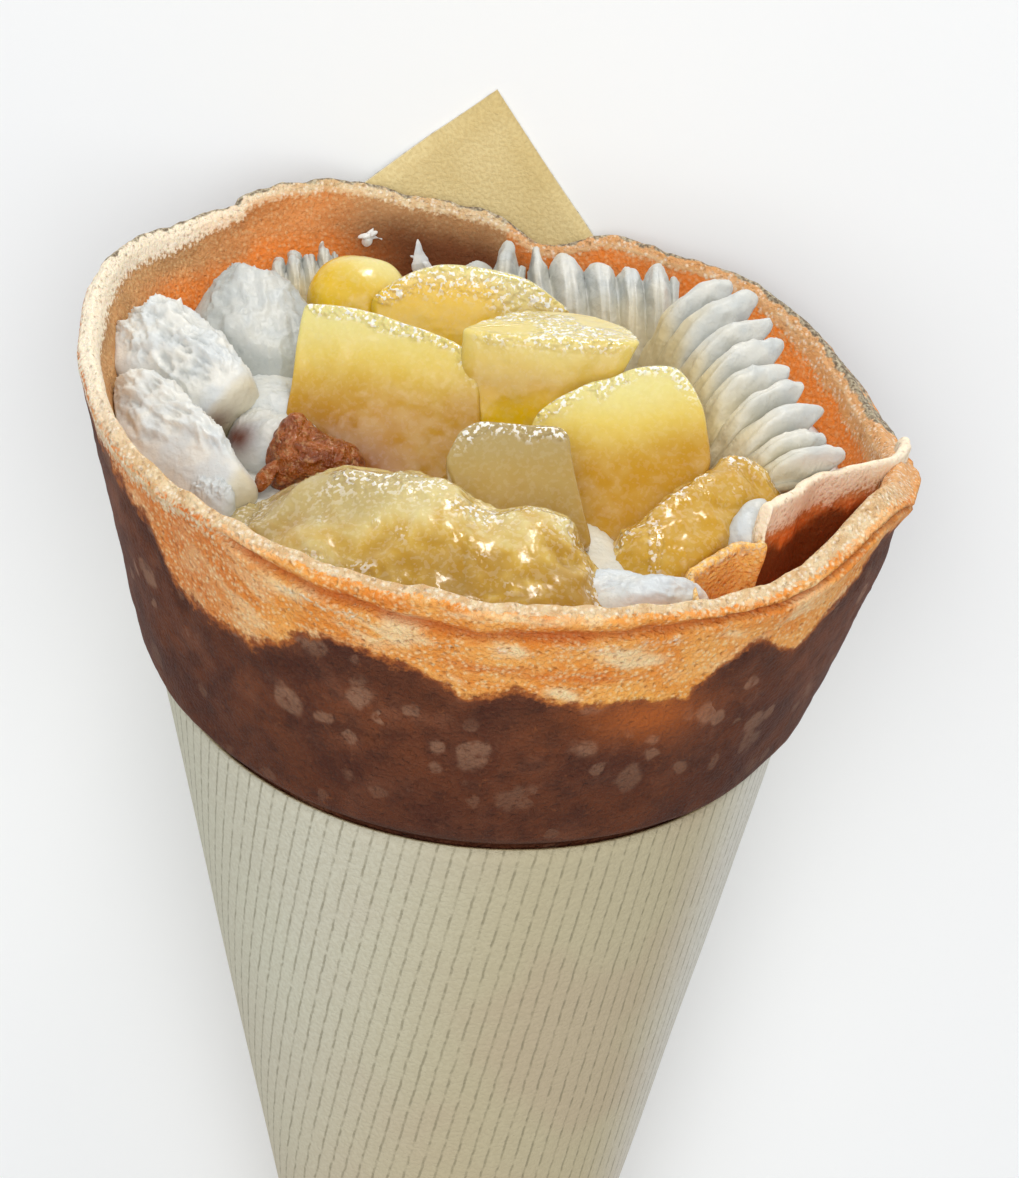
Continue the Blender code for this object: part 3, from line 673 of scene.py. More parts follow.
def collar_start(azimuth):
    """The height where the crepe comes out: just above the paper, or a collar below the rim."""
    clear = EDGE_CLEAR + BACKED_CLEAR * (1 - free_share(azimuth))
    return np.minimum(sleeve_edge(azimuth) * COS_HALF + clear, rim_height(azimuth) - COLLAR)


def outer_out(azimuth):
    """How far outside the paper's cone the rim's outer face lies: inside it where it is backed."""
    return free_share(azimuth) * (SKIN + rim_out(azimuth)) - SKIN


def narrowed(wide, depth):
    """From this far out at the rim to a wall of full thickness, by a cubic step of the depth."""
    return wide + (-SKIN - WALL - wide) * smooth(0.0, WALL_FULL, depth)


def wall_out(azimuth, depth):
    """How far outside the paper's cone the crepe's inner face lies."""
    return narrowed(outer_out(azimuth) - lip_width(azimuth), depth)


def kept_in(grid):
    """The same points, drawn in to the crepe's inner face where they would lie beyond it."""
    x, y, z = np.moveaxis(grid, -1, 0)
    azimuth = np.arctan2(x, -y)
    depth = np.maximum(rim_height(azimuth) - z, 0)
    wall = on_cone(azimuth, z, wall_out(azimuth, depth))
    share = np.hypot(wall[..., 0], wall[..., 1]) / np.maximum(np.hypot(x, y), 1e-6)
    share = np.minimum(share, 1.0)
    return np.stack([x * share, y * share, z], axis=-1)


def ledge(azimuth):
    """How far below the rim the outer layer's edge runs, and 1 where it shows, in front."""
    degrees = np.degrees(azimuth)
    depth = table(azimuth, LEDGE_DEPTH) + 0.35 * rim_noise(azimuth, 4, 8)
    return depth, smooth(-42, -30, degrees) * (1 - smooth(62, 82, degrees))


def crepe_outer_face(azimuth, top, low, start, out):
    """Rows from the paper's edge up to the lip. The face swells over the paper's edge and leans
    out with the height's power of 0.8. A groove and a fading step mark the outer layer's edge,
    a bell draws in the neck under the broad lip, and noise folds it all."""
    free = free_share(azimuth)
    full = low - start
    shares = np.concatenate([FOOT_STEPS, np.linspace(0.12, 1, 34)])[:, None]
    lower = start + (full - UPPER_ROWS) * shares
    upper = low - np.linspace(UPPER_ROWS - 0.3, 0.0, 23)[:, None]
    height = np.concatenate([lower, upper])
    share = np.clip((height - start) / full, 0, 1)
    swell = (SKIN + OVERHANG) * smooth(0.0, 0.07, share) ** 0.6
    swell = swell + (out / np.maximum(free, 0.05) - OVERHANG) * share**0.8
    depth = top - height
    ledge_at, ledge_on = ledge(azimuth)
    below = smooth(ledge_at - 0.35, ledge_at + 0.2, depth)
    step = LEDGE * below * np.exp(-np.maximum(depth - ledge_at, 0) / LEDGE_FADE)
    groove = GROOVE * np.exp(-(((depth - ledge_at + 0.55) / 0.5) ** 2))
    neck = NECK * bump(azimuth, LIP_CENTRE, LIP_HALF) * np.exp(-(((depth - 5.5) / 2.6) ** 2))
    face_out = free * swell - SKIN + ledge_on * (step - groove) - neck
    face = on_cone(azimuth, height, face_out)
    fold = 0.45 * rough(face, (13, 13, 22), 20, 2) + 0.09 * rough(face, 1.5, 24, 2)
    fold = fold + 0.12 * rough(face, 4.0, 27, 2)
    return on_cone(azimuth, height, face_out + fold * free * smooth(0.0, 0.1, share))


def crepe_lip(azimuth, low, out):
    """Rows over the lip: a quarter sine up from its outer side, a slope to its higher inner side
    and a quarter cosine down, pitted by fine noise."""
    width = lip_width(azimuth)
    t = ACROSS_LIP
    rise = LIP_ROUND * np.sin(np.minimum(t / 0.3, 1) * math.pi / 2)
    rise = rise + LIP_SLOPE * width * smooth(0.2, 0.75, t)
    rise = rise - (1 - np.cos(np.clip((t - 0.75) / 0.25, 0, 1) * math.pi / 2))
    face = on_cone(azimuth, low + rise, out - width * t)
    pitted = 0.16 * rough(face, 1.0, 31, 2) + 0.14 * rough(face, 2.6, 33, 2)
    return on_cone(azimuth, low + rise + pitted, out - width * t)


def crepe_inner_face(azimuth, top, out):
    """Rows down the narrowing inner wall, softly creased where they show."""
    down = np.concatenate([np.linspace(1.1, 14, 26), np.linspace(15, 24, 8), [36.0]])[:, None]
    wall = narrowed(out - lip_width(azimuth), down)
    face = on_cone(azimuth, top - down, wall)
    creased = 0.4 * rough(face, (9, 9, 14), 41, 2) + 0.07 * rough(face, 1.4, 44, 2)
    creased = creased * smooth(0.5, 4, down) * (1 - smooth(18, 24, down))
    return on_cone(azimuth, top - down, wall + creased)


def crepe_places(azimuth, grid, rows, top, start):
    """Where each point of the crepe lies: on which face, and how far from the rim and paper."""
    face = np.repeat(np.arange(len(rows)), rows)[:, None]
    across = np.zeros(grid.shape[:2])
    across[face[:, 0] == 2] = ACROSS_LIP
    ledge_at, ledge_on = ledge(azimuth)
    return SimpleNamespace(
        grid=grid, azimuth=azimuth, degrees=np.broadcast_to(np.degrees(azimuth), grid.shape[:2]),
        outer=face == 1, lip=face == 2, inner=face == 3, outside=face <= 1, inside=face >= 3,
        below_rim=top - grid[..., 2], above_paper=grid[..., 2] - start,
        across=across, ledge_at=ledge_at, ledge_on=ledge_on,
    )  # fmt: skip


def browning(at):
    """Where the outer face is orange, scorched, in painted shade and in painted glow. The orange
    band has a ragged edge, scorched just below it; along the paper the face is darkened by painted
    shade, and it is darker over its lower part. It pales round both sides in painted shade, and a
    warm bell of painted glow, as of light shining through, lies on the front right."""
    past_band = at.below_rim - table(at.azimuth, BAND_DEPTH) - 1.3 * rough(at.grid, 8.0, 50, 3)
    soften = 2.8 + 3.0 * smooth(-20, -50, at.degrees)
    band = np.where(at.outside, np.clip(0.5 - past_band / soften, 0, 1), 1.0)
    scorch_and_shade = 0.4 * np.exp(-(((past_band - 3.5) / 2.0) ** 2))
    # Painted shade along the paper's edge, and darker over the lower part.
    foot_line = (1 - smooth(0.5, 4.5, at.above_paper)) * (0.35 + 0.4 * value_noise(at.grid, (5, 5, 1.0), 62))
    lower_part = 0.34 * (1 - smooth(4, 20, at.above_paper))
    scorch_and_shade = np.maximum(scorch_and_shade, np.maximum(foot_line, lower_part)) * at.outer
    shade = 0.8 * smooth(-58, -84, at.degrees) + 0.5 * smooth(58, 84, at.degrees)
    # A bell of painted glow on the front right, as of light shining through.
    glow_away = np.hypot((at.degrees - 25.5) / 9, (at.below_rim - 14.5) / 3.2)
    return {
        "band": band, "scorch_and_shade": scorch_and_shade, "shade": np.clip(shade, 0, 0.85) * at.outside,
        "painted_glow": 0.7 * np.exp(-(glow_away**2)) * at.outer,
    }  # fmt: skip


def edges(at):
    """Where the pale edge, the ashy fringe behind, the painted shade in the crease over the outer
    layer and the painted light on the left lip show. The pale edge covers the lip, broader on the
    left and right, partly as painted light, and flecks the outer layer's edge."""
    # Painted light in part: the pale edge is broader on the left and right.
    pale_side = 0.3 + 0.7 * smooth(-20, -50, at.degrees) + 0.35 * smooth(60, 90, at.degrees)
    over_lip = smooth(0.1 - 0.3 * pale_side, 0.55, at.across)
    past_lip = np.clip(1 - (at.below_rim - 1.2) / (0.8 + 2.4 * pale_side), 0, 1)
    sandy = 1 + 1.1 * smooth(15, 60, at.degrees) * (1 - smooth(120, 150, at.degrees))
    sandy = sandy + 0.9 * smooth(-60, -90, at.degrees) * smooth(-140, -115, at.degrees)
    lip = np.where(at.lip, 0.15 + 0.7 * over_lip + 0.15 * pale_side, 0.0)
    lip = np.where(at.outer, 0.9 * pale_side * past_lip, lip)
    lip = np.where(at.inner, 1 - smooth(0.6 * sandy, 2.6 * sandy, at.below_rim), lip)
    on_ledge = at.ledge_on * np.exp(-(((at.below_rim - at.ledge_at - 0.9) / 0.9) ** 2))
    broken = smooth(0.42, 0.62, value_noise(at.grid, (2.6, 2.6, 1.2), 54))
    behind = smooth(92, 112, np.abs(at.degrees)) * (0.55 + 0.45 * value_noise(at.grid, 5, 55))
    fringe = behind * (1 - smooth(1.0, 2.6, at.below_rim)) * at.outer
    fringe = np.where(at.lip, behind * (1 - smooth(0.75, 1.0, at.across)), fringe)
    # Painted shade in the groove just over the outer layer's edge.
    crease_shade = 0.9 * at.ledge_on * np.exp(-(((at.below_rim - at.ledge_at + 0.5) / 0.45) ** 2))
    return {
        "lip": np.maximum(lip, 0.5 * on_ledge * broken * at.outer),
        "fringe": fringe, "crease_shade": crease_shade * at.outer,
        # Painted light on the lip's left side.
        "painted_light_lip": smooth(-50, -80, at.degrees) * smooth(-150, -120, at.degrees),
    }  # fmt: skip


def streaks(at):
    """Light and dark streaks along the rim: noise that is long round it and short below it."""
    ring = RIM_RADIUS * np.stack([np.sin(at.azimuth), np.cos(at.azimuth)], axis=-1)
    layered = 2.6 * (at.below_rim - at.ledge_at * at.ledge_on) + 4 * rough(at.grid, 6, 58, 3)
    place = np.concatenate([np.broadcast_to(ring, (*layered.shape, 2)), layered[..., None]], axis=-1)
    streak = 0.7 * value_noise(place, (6, 6, 5), 59) + 0.3 * value_noise(place, (3, 3, 2.4), 60)
    faded = 0.35 + 0.65 * smooth(-45, -15, at.degrees) * (1 - 0.5 * smooth(15, 40, at.degrees))
    return {"streak": streak, "faded": faded}


def inner_colours(at):
    """Where the inner face is deep orange, on the left wall and all down the right, where the orange
    is also a painted glow of light shining through, and where it is darkened: a flat-topped bell
    of painted shadow at the back, and a grey tinge at the top left."""
    below = at.below_rim
    left_wall = smooth(-100, -118, at.degrees) * smooth(4.0, 8.5, below + rough(at.grid, 6, 56, 2))
    left_top = 0.5 * smooth(-118, -140, at.degrees) * smooth(-160, -148, at.degrees)
    right_wall = smooth(-0.6, 2.4, below + 1.0 * rough(at.grid, 5, 57, 2))
    # Deep orange; down the right it is also a painted glow of light shining through the wall.
    deep = np.where(at.degrees < 0, np.maximum(left_wall, left_top), right_wall * (at.degrees > 0))
    deep = np.where(at.lip, 0.8 * smooth(55, 85, at.degrees) * (at.degrees > 0), deep)
    # Painted shadow: a flat-topped bell at the back, deepening below the rim.
    shadow_and_grey = np.exp(-((wrapped(np.radians(at.degrees) - SHADOW_CENTRE) / SHADOW_HALF) ** 4))
    shadow_and_grey = shadow_and_grey * (0.2 + 0.75 * smooth(0.5, 6.5, below))
    grey = 0.3 * smooth(-60, -95, at.degrees) * smooth(-150, -130, at.degrees) * (1 - smooth(2, 5, below))
    return {"inside": 1.0 * at.inside, "deep": deep, "shadow_and_grey": np.maximum(shadow_and_grey, grey) * at.inside}


def build_crepe():
    """One profile carried round the cone: up the outer face, over the lip and down inside."""
    azimuth = np.linspace(-math.pi, math.pi, 480, endpoint=False)
    top, start = ragged_rim(azimuth), collar_start(azimuth)
    low = top - LIP_SLOPE * lip_width(azimuth) - LIP_ROUND
    out = outer_out(azimuth) + 0.3 * rim_noise(azimuth, 6, 5) * free_share(azimuth)
    hidden = np.stack([np.full_like(start, CREPE_TIP + DISH), start - 6.0, start - 0.8])
    faces = [
        on_cone(azimuth, hidden, -SKIN),
        crepe_outer_face(azimuth, top, low, start, out),
        crepe_lip(azimuth, low, out),
        crepe_inner_face(azimuth, top, out),
        on_cone(azimuth, CREPE_FLOOR + DISH, -SKIN - WALL)[None],
    ]
    grid = np.concatenate(faces)
    at = crepe_places(azimuth, grid, [len(face) for face in faces], top, start)
    values = browning(at) | edges(at) | streaks(at) | inner_colours(at)
    poles = ((0, 0, CREPE_TIP), (0, 0, CREPE_FLOOR))
    make_piece("crepe_roll", ["crepe"], CREPE, grid, values, poles)


FLAP_DEPTH, FLAP_OUT, FLAP_SHEET = 27.0, -6.3, 1.5
FLAP_START, FLAP_CORNER, FLAP_END = 29.0, 50.5, 90.0
FLAP_LOW, FLAP_MIDDLE, FLAP_HIGH = 205.0, 208.2, 212.0


def flap_top(degrees):
    """The flap's height: a slow rise as far as its corner, then a short step up."""
    low = FLAP_LOW + (FLAP_MIDDLE - FLAP_LOW) * smooth(FLAP_START, FLAP_CORNER, degrees)
    return low + (FLAP_HIGH - FLAP_MIDDLE) * smooth(FLAP_CORNER, FLAP_CORNER + 1.5, degrees)


def flap_out(degrees, depth):
    """The flap stands off the wall, and runs back into it at both ends and below."""
    azimuth = np.radians(degrees)
    ends = smooth(FLAP_START, FLAP_START + 9, degrees) * (1 - smooth(FLAP_END - 22, FLAP_END, degrees))
    wall_middle = outer_out(azimuth) - 0.6 * lip_width(azimuth)
    fold = 2.0 * np.exp(-(((degrees - FLAP_CORNER + 1) / 1.6) ** 2))
    top = wall_middle + (FLAP_OUT + fold - wall_middle) * ends
    return top + (-SKIN - 0.5 * WALL - top) * smooth(4.0, FLAP_DEPTH, depth)


def build_flap():
    """A sheet's section, up its outer face, over its round top and down inside, carried along
    the rim. Short of its corner it shows its orange outer face, brightened by a painted glow, and
    past it the inner one, with painted light on its top and painted shadow in the pocket."""
    degrees = np.concatenate([np.arange(26, 48, 0.5), np.arange(48, 54, 0.2), np.arange(54, 93, 0.5)])
    degrees = degrees[:, None]
    azimuth = np.radians(degrees)
    down = np.concatenate([[FLAP_DEPTH], np.linspace(20, 0.9, 34)])
    turn = np.linspace(0.15, math.pi - 0.15, 9)
    depth = np.concatenate([down, 0.75 - 0.75 * np.sin(turn), down[::-1]])
    side = np.concatenate([np.ones(len(down)), np.cos(turn), -np.ones(len(down))])
    height = flap_top(degrees) + 0.35 * rim_noise(azimuth, 3, 60) - depth
    out = flap_out(degrees, depth) + side * FLAP_SHEET / 2
    grid = on_cone(azimuth, height, out)
    wave = 0.3 * rough(grid, 7, 61, 2) + 0.12 * rough(grid, 1.4, 63, 2)
    grid = on_cone(azimuth, height, out + wave * smooth(0.0, 3.0, 24 - depth))
    depth, side, degrees = (np.broadcast_to(numbers, grid.shape[:2]) for numbers in (depth, side, degrees))
    strip = 1 - smooth(FLAP_CORNER - 0.5, FLAP_CORNER + 0.8, degrees)
    lip = (1 - smooth(0.9, 2.2, depth + 0.6 * rough(grid, 1.4, 65, 2))) * (1 - 0.55 * strip)
    upper = 0.85 * (1 - smooth(2.2, 5.6, depth + 1.4 * rough(grid, 2.5, 67, 2))) * (1 - strip)
    # Painted shadow in the pocket past the flap's corner.
    shadow_and_grey = (1 - strip) * smooth(3.6, 7.2, depth + 2.4 * rough(grid, 3, 66, 3)) * (side > 0)
    # Painted light: a glow on the strip short of the corner, and light on the top past it.
    values = {
        "band": 1.0, "lip": np.maximum(lip, upper), "inside": 1 - strip, "deep": smooth(3, 6, depth),
        "shadow_and_grey": 0.9 * shadow_and_grey, "painted_glow": 0.8 * strip, "streak": 0.5 + 0.3 * strip, "faded": 1.0,
        "painted_light_lip": 0.9 * (1 - strip), "shade": 0.0, "crease_shade": 0.0, "scorch_and_shade": 0.0, "fringe": 0.0,
    }  # fmt: skip
    make_piece("crepe_flap", ["crepe"], CREPE, grid, values)


build_crepe()
build_flap()


# Cream and apple ----------------------------------------------------------------------------

GAP = 0.3
FILL_HEIGHT, FILL_SLOPE, FILL_CENTRE = 207.5, 4.7, 211.0
FILL_DIPS = ((82, 32, 9.0), (165, 45, 2.5))  # centre and half width in degrees, depth
BED_ROWS = (36.0, 28.0, 22.0, 16.0, 12.0, 8.0, 4.0, 2.0, 1.0, 0.0)  # below the cream's edge
# Places in the standing cone, with a radius: where warm light is painted on the bed, and the
# painted shadow of its hollow.
BED_WARM_LIGHT = [(0, -10, 209, 22), (28, -12, 209, 9), (-22, -6, 211, 9)]
BED_HOLLOW_SHADOW = [(-31, -9.5, 210, 2.6)]


def local_axes(yaw, tilt):
    """Along, across and up: along turns from the right towards the back, and rises by the tilt."""
    yaw, tilt = math.radians(yaw), math.radians(tilt)
    flat = np.array([math.cos(yaw), math.sin(yaw), 0.0])
    along = flat * math.cos(tilt) + np.array([0.0, 0.0, math.sin(tilt)])
    across = np.array([-math.sin(yaw), math.cos(yaw), 0.0])
    return along, across, np.cross(along, across)


def make_topping(name, node, material, grid, values=None):
    """A piece that lies on the cream and stands for this node, kept inside the crepe."""
    make_piece(name, [node], material, kept_in(grid), values)


def near(grid, places):
    """1 close to any of these points, falling off as a bell of the given radius."""
    total = np.zeros(grid.shape[:2])
    for x, y, z, radius in places:
        away = ((grid - (x, y, z)) ** 2).sum(axis=-1) / radius**2
        total = np.maximum(total, np.exp(-away))
    return total


def build_bed():
    """The cream's surface: rings from the crepe's wall to a domed middle, with soft heaps. On
    the right the flap's inner face bounds it, so the pocket stays open."""
    azimuth = np.linspace(-math.pi, math.pi, 240, endpoint=False)
    degrees = np.degrees(azimuth)
    level = FILL_HEIGHT - FILL_SLOPE * np.cos(azimuth)
    for centre, half_width, dip in FILL_DIPS:
        level = level - dip * bump(azimuth, centre, half_width)
    floor = on_cone(azimuth, CREPE_FLOOR + 2 * DISH, -SKIN - WALL - GAP)[None]
    beside_flap = smooth(26, 30, degrees) * (1 - smooth(84, 92, degrees))
    height = level - np.array(BED_ROWS)[:, None]
    plain = wall_out(azimuth, rim_height(azimuth) - height)
    below_flap = np.maximum(flap_top(degrees) - height, 0)
    held = flap_out(degrees, below_flap) - FLAP_SHEET / 2 - 2 * GAP
    out = plain + (np.minimum(held, plain) - plain) * beside_flap - GAP
    wall = on_cone(azimuth, height, out)
    share = np.linspace(0.985, 0.02, 66)[:, None, None]
    middle = np.array([0.0, 0.0, FILL_CENTRE])
    top = middle + (wall[-1] - middle) * share
    heap = 1.2 * rough(top, 9, 70, 2) + 0.35 * crests(top, 4.0, 73)
    top[..., 2] += heap * smooth(1.0, 0.9, share[..., 0])
    grid = np.concatenate([floor, wall, top])
    # Painted warm light by the apple, painted shadow in the hollow, a faint painted cool shade.
    values = {"warm_light": 0.8 * near(grid, BED_WARM_LIGHT), "hollow_shadow": near(grid, BED_HOLLOW_SHADOW), "cool_shade": 0.12}
    make_piece("cream_bed", ["cream_filling"], CREAM, grid, values)


def softened(points, count, ease):
    """A closed polygon walked in even steps, its corners rounded by a Gaussian of this width."""
    closed = np.array([*points, points[0]], float)
    length = np.concatenate([[0], np.cumsum(np.linalg.norm(np.diff(closed, axis=0), axis=1))])
    walk = np.linspace(0, length[-1], count, endpoint=False)
    curve = np.interp(walk, length, closed[:, 0]) + 1j * np.interp(walk, length, closed[:, 1])
    fade = np.exp(-0.5 * (2 * math.pi * np.fft.fftfreq(count, length[-1] / count) * ease) ** 2)
    curve = np.fft.ifft(np.fft.fft(curve) * fade)
    if (curve.conj() * np.roll(curve, -1)).imag.sum() < 0:
        curve = curve[::-1]
    return curve


CUT_DOME = 0.06  # how much thicker a cut is in its middle


def cut_piece(outline, centre, thick, yaw=0.0, lean=0.0, ease=0.9, edge=0.6, taper=0.0, drift=0.0):
    """A cut of apple: its softened outline is carried from the domed back face, over an edge
    rounded by quarter circles, to the domed front face, and shrinks and drifts between them. Also
    gives the grid's own coordinates, the distance from its outline, and how far up the outline
    faces there."""
    right, back, up = local_axes(yaw, 0.0)
    lean = math.radians(lean)
    height = up * math.cos(lean) + back * math.sin(lean)
    face = -np.cross(height, right)
    curve = softened(outline, 200, ease)
    ahead = np.roll(curve, -1) - np.roll(curve, 1)
    outwards = ahead / np.abs(ahead) * -1j
    core = curve.mean()
    turn = np.linspace(0, math.pi / 2, 9)
    flat_back, flat_front = np.linspace(0.04, 0.94, 12), np.linspace(0.97, 0.04, 36)
    side = np.linspace(-1, 1, 16)[1:-1]
    inset = curve - outwards * edge
    rows = [core + (inset - core) * flat_back[:, None]]
    rows.append(curve - outwards * (edge * (1 - np.sin(turn)))[:, None])
    rows.append(curve + 0 * side[:, None])
    rows.append(curve - outwards * (edge * (1 - np.cos(turn)))[:, None])
    rows.append(core + (inset - core) * flat_front[:, None])
    level = [-thick * (1 + CUT_DOME * (1 - flat_back**2)), -thick + edge * (1 - np.cos(turn))]
    level += [(thick - edge) * side, thick - edge * (1 - np.sin(turn))]
    level += [thick * (1 + CUT_DOME * (1 - flat_front**2))]
    place, level = np.concatenate(rows), np.concatenate(level)[:, None] / thick
    place = core + (place - core) * (1 + taper * level) + drift * level
    u, v = place.real, place.imag
    grid = np.array(centre, float) + u[..., None] * right + v[..., None] * height
    grid = grid + (level * thick)[..., None] * face
    reach = np.abs(inset - core)
    on_edge = np.zeros((2 * len(turn) + len(side), len(curve)))
    rim = np.concatenate([reach * (1 - flat_back[:, None]), on_edge, reach * (1 - flat_front[:, None])])
    return grid, u, v, level + 0 * u, rim, outwards.imag + 0 * u


def follow(points, count):
    """Even steps along a smooth route through these points, by cubic steps of its slope."""
    points = np.array(points, float)
    slope = np.gradient(points, axis=0)
    walk = np.linspace(0, len(points) - 1, count)
    start = np.minimum(walk.astype(int), len(points) - 2)
    t = (walk - start)[:, None]
    first, last = points[start], points[start + 1]
    bend = (t**3 - 2 * t**2 + t) * slope[start] + (t**3 - t**2) * slope[start + 1]
    return first + (last - first) * (3 * t**2 - 2 * t**3) + bend


def mound(back, ridge, front, sink=4.0, power=1.4, count=150):
    """A glazed heap: bowed sections carried along three routes. Each section rises from the
    back route over the ridge to the front route on powers of sine and cosine, and closes
    underneath. The ends shrink as sqrt(1 - s^6). Also gives how far towards the front and how
    far up its section each point lies."""
    back, ridge, front = (follow(route, count)[:, None] for route in (back, ridge, front))
    turn = (np.arange(96) * 2 * math.pi / 96)[None, :, None]
    middle = (back + front) / 2
    over = np.maximum(np.sin(turn), 0) ** power * (ridge - middle)
    under = np.maximum(-np.sin(turn), 0) * np.array([0.0, 0.0, -sink])
    s = np.linspace(-0.999, 0.999, count)[:, None, None]
    close = np.sqrt(1 - np.abs(s) ** 6)
    side = -np.sign(np.cos(turn)) * np.abs(np.cos(turn)) ** power
    grid = middle + ((front - back) / 2 * side + over + under) * close
    rise = np.maximum(np.sin(turn), 0)[..., 0] + 0 * s[..., 0]
    return grid, -np.cos(turn)[..., 0] + 0 * rise, rise


def lump(centre, size, yaw=0.0, tilt=0.0, power=2.4, wave=0.05, peak=0.0, taper=0.0):
    """A soft lump: sections of radius (1 - |s|^p)^(1/p) along its length s, with three shallow
    waves wound round it. They draw in to a peak above, and shrink towards the far end. Also gives
    its own coordinates along, across and up."""
    axes = local_axes(yaw, tilt)
    length, width, height = size
    turn = (np.arange(150) * 2 * math.pi / 150)[None, :]
    s = np.sin(np.radians(np.linspace(-88, 88, 110)))[:, None]
    radius = (1 - np.abs(s) ** power) ** (1 / power) * (1 + wave * np.sin(3 * turn + 4 * s))
    radius = radius * (1 - taper * smooth(-0.2, 1.0, s))
    across, up = radius * np.cos(turn), radius * np.sin(turn)
    rise = np.maximum(up, 0)
    across, up = across * (1 - 0.8 * peak * rise), up * (1 + 0.6 * peak * rise)
    grid = np.array(centre, float) + (s * length + 0 * turn)[..., None] * axes[0]
    grid = grid + (across * width)[..., None] * axes[1] + (up * height)[..., None] * axes[2]
    return grid, s + 0 * turn, across, up


def leaf(root, tip, width, height, arch=0.3, bend=0.2, blunt=4.5):
    """One ridge of piped cream: sections with a sharp crest along a line that arches up and bends
    aside. They widen from the root as the square root of s, and narrow to the tip as 1 - s^blunt."""
    root, tip = np.array(root, float), np.array(tip, float)
    along = (tip - root) / np.linalg.norm(tip - root)
    across = np.cross(along, (0.0, 0.0, 1.0))
    across /= np.linalg.norm(across)
    up = np.cross(across, along)
    s = np.linspace(0.0, 1.0, 64)[:, None, None]
    turn = (np.arange(40) * 2 * math.pi / 40)[None, :, None]
    body = np.minimum(s / 0.3, 1) ** 0.5 * (1 - s**blunt) ** 0.9 * (1 - 0.2 * s) + 0.015
    line = root + (tip - root) * s + up * arch * np.sin(math.pi * s) + across * bend * s**3
    side = np.sign(np.cos(turn)) * np.abs(np.cos(turn)) ** 1.5
    return line + body * (side * width * across + np.sin(turn) * height * up)


def pleats(root_a, root_b, tip_a, tip_b, ridges, height, arch, notch, lean, uneven):
    """A piped fan: closed sections from its roots to its tips are carried from one side to the
    other. Ridges rise between narrow grooves as |sin(n pi u)|^0.7, higher towards the tips, and
    lean aside with the square of s. The tips are teeth between notches, each of its own reach.
    Also gives s from root to tip, and how high on its ridge each point lies."""
    root_a, root_b, tip_a, tip_b = (np.array(end, float) for end in (root_a, root_b, tip_a, tip_b))
    u = np.linspace(0.0, 1.0, 30 * ridges + 1)[:, None]
    turn = (np.arange(110) * 2 * math.pi / 110)[None, :]
    s = (1 - np.cos(turn)) / 2
    phase = ridges * u + 0.12 * np.sin(7 * u + 1)
    ends = smooth(0.0, 0.3 / ridges, u) * smooth(1.0, 1 - 0.3 / ridges, u)
    ridge = np.abs(np.sin(math.pi * (phase + lean * s**2))) ** 0.7 * ends
    ridge = ridge * (1 + 0.09 * np.cos(6 * math.pi * (phase + lean * s**2)))
    last = phase + lean
    tooth = (1 - np.abs(2 * (last % 1) - 1) ** 1.7) * ends
    own = np.interp(last, np.arange(len(uneven)) - 0.5, uneven)
    reach = 1 + own * tooth - notch * (1 - tooth)
    root, tip = root_a + (root_b - root_a) * u, tip_a + (tip_b - tip_a) * u
    up = np.cross(tip_b - tip_a, (tip_a + tip_b - root_a - root_b) / 2)
    up /= np.linalg.norm(up)
    over = np.abs(np.sin(turn)) ** 0.6 * (0.3 + 0.7 * smooth(0.1, 0.75, s)) * (turn < math.pi)
    level = arch * np.sin(math.pi * s) + 0.9 * np.sin(turn) + height * ridge * over
    grid = root[:, None] + (tip - root)[:, None] * (s * reach)[..., None] + up * level[..., None]
    return grid, s + 0 * u, ridge * (turn < math.pi)


# Places in the standing cone, with a radius, where warm light of apple shining through the
# cream is painted.
WARM_LIGHT_SPOTS = [
    (0, -10, 209, 20), (26, -3, 212, 8), (31, -12, 208.5, 8), (22, 26, 216, 4), (24, 4, 213, 6),
]  # fmt: skip


def cream_values(grid, strength=0.8, least=0.0, cool_shade=0.0):
    """The numbers that whipped cream is painted by: how much painted warm light, shadow in a
    hollow and cool shade each point takes.
    """
    warm_light = np.maximum(strength * near(grid, WARM_LIGHT_SPOTS), least)
    return {"warm_light": warm_light, "hollow_shadow": np.zeros(grid.shape[:2]), "cool_shade": cool_shade}


# Each fan: its node, the ends of its line of roots and of its line of tips, then its ridges: how
# many, their height, arch, the depth of the notches between their tips, and how far they lean.
FANS = {
    "fan_back": (
        "cream_fan_back",
        (4.6, 24.5, 210.5), (23.0, 23.5, 210.5), (3.0, 34.6, 223.2), (23.2, 34.0, 223.2),
        5, 2.5, 1.4, 0.15, 0.2,
    ),
    "fan_behind": (
        "cream_fan_back",
        (-6, 25, 212.5), (3, 25, 212.5), (-5.6, 34.5, 221.8), (3, 34.5, 223.4), 2, 2.2, 1.2, 0.15, 0.1,
    ),
    "fan_right": (
        "cream_fan_right",
        (18.0, 20.5, 210.4), (26.0, -4.5, 208.8), (28.9, 22.8, 225.0), (36.8, 1.2, 218.2),
        5, 2.6, 2.4, 0.36, 0.0,
    ),
    "fan_front": (
        "cream_fan_front",
        (25.0, -3.5, 208.6), (31.0, -13.5, 206.6), (38.0, 1.6, 219.7), (41.6, -12.2, 211.4),
        4, 2.2, 2.0, 0.34, 0.05,
    ),
    "fan_left": (
        "cream_fan_left",
        (-34, 20.5, 214.0), (-19.5, 24, 214.0), (-33.6, 28.5, 218.6), (-22.0, 34.0, 223.6),
        6, 1.1, 1.8, 0.14, 0.3,
    ),
}  # fmt: skip


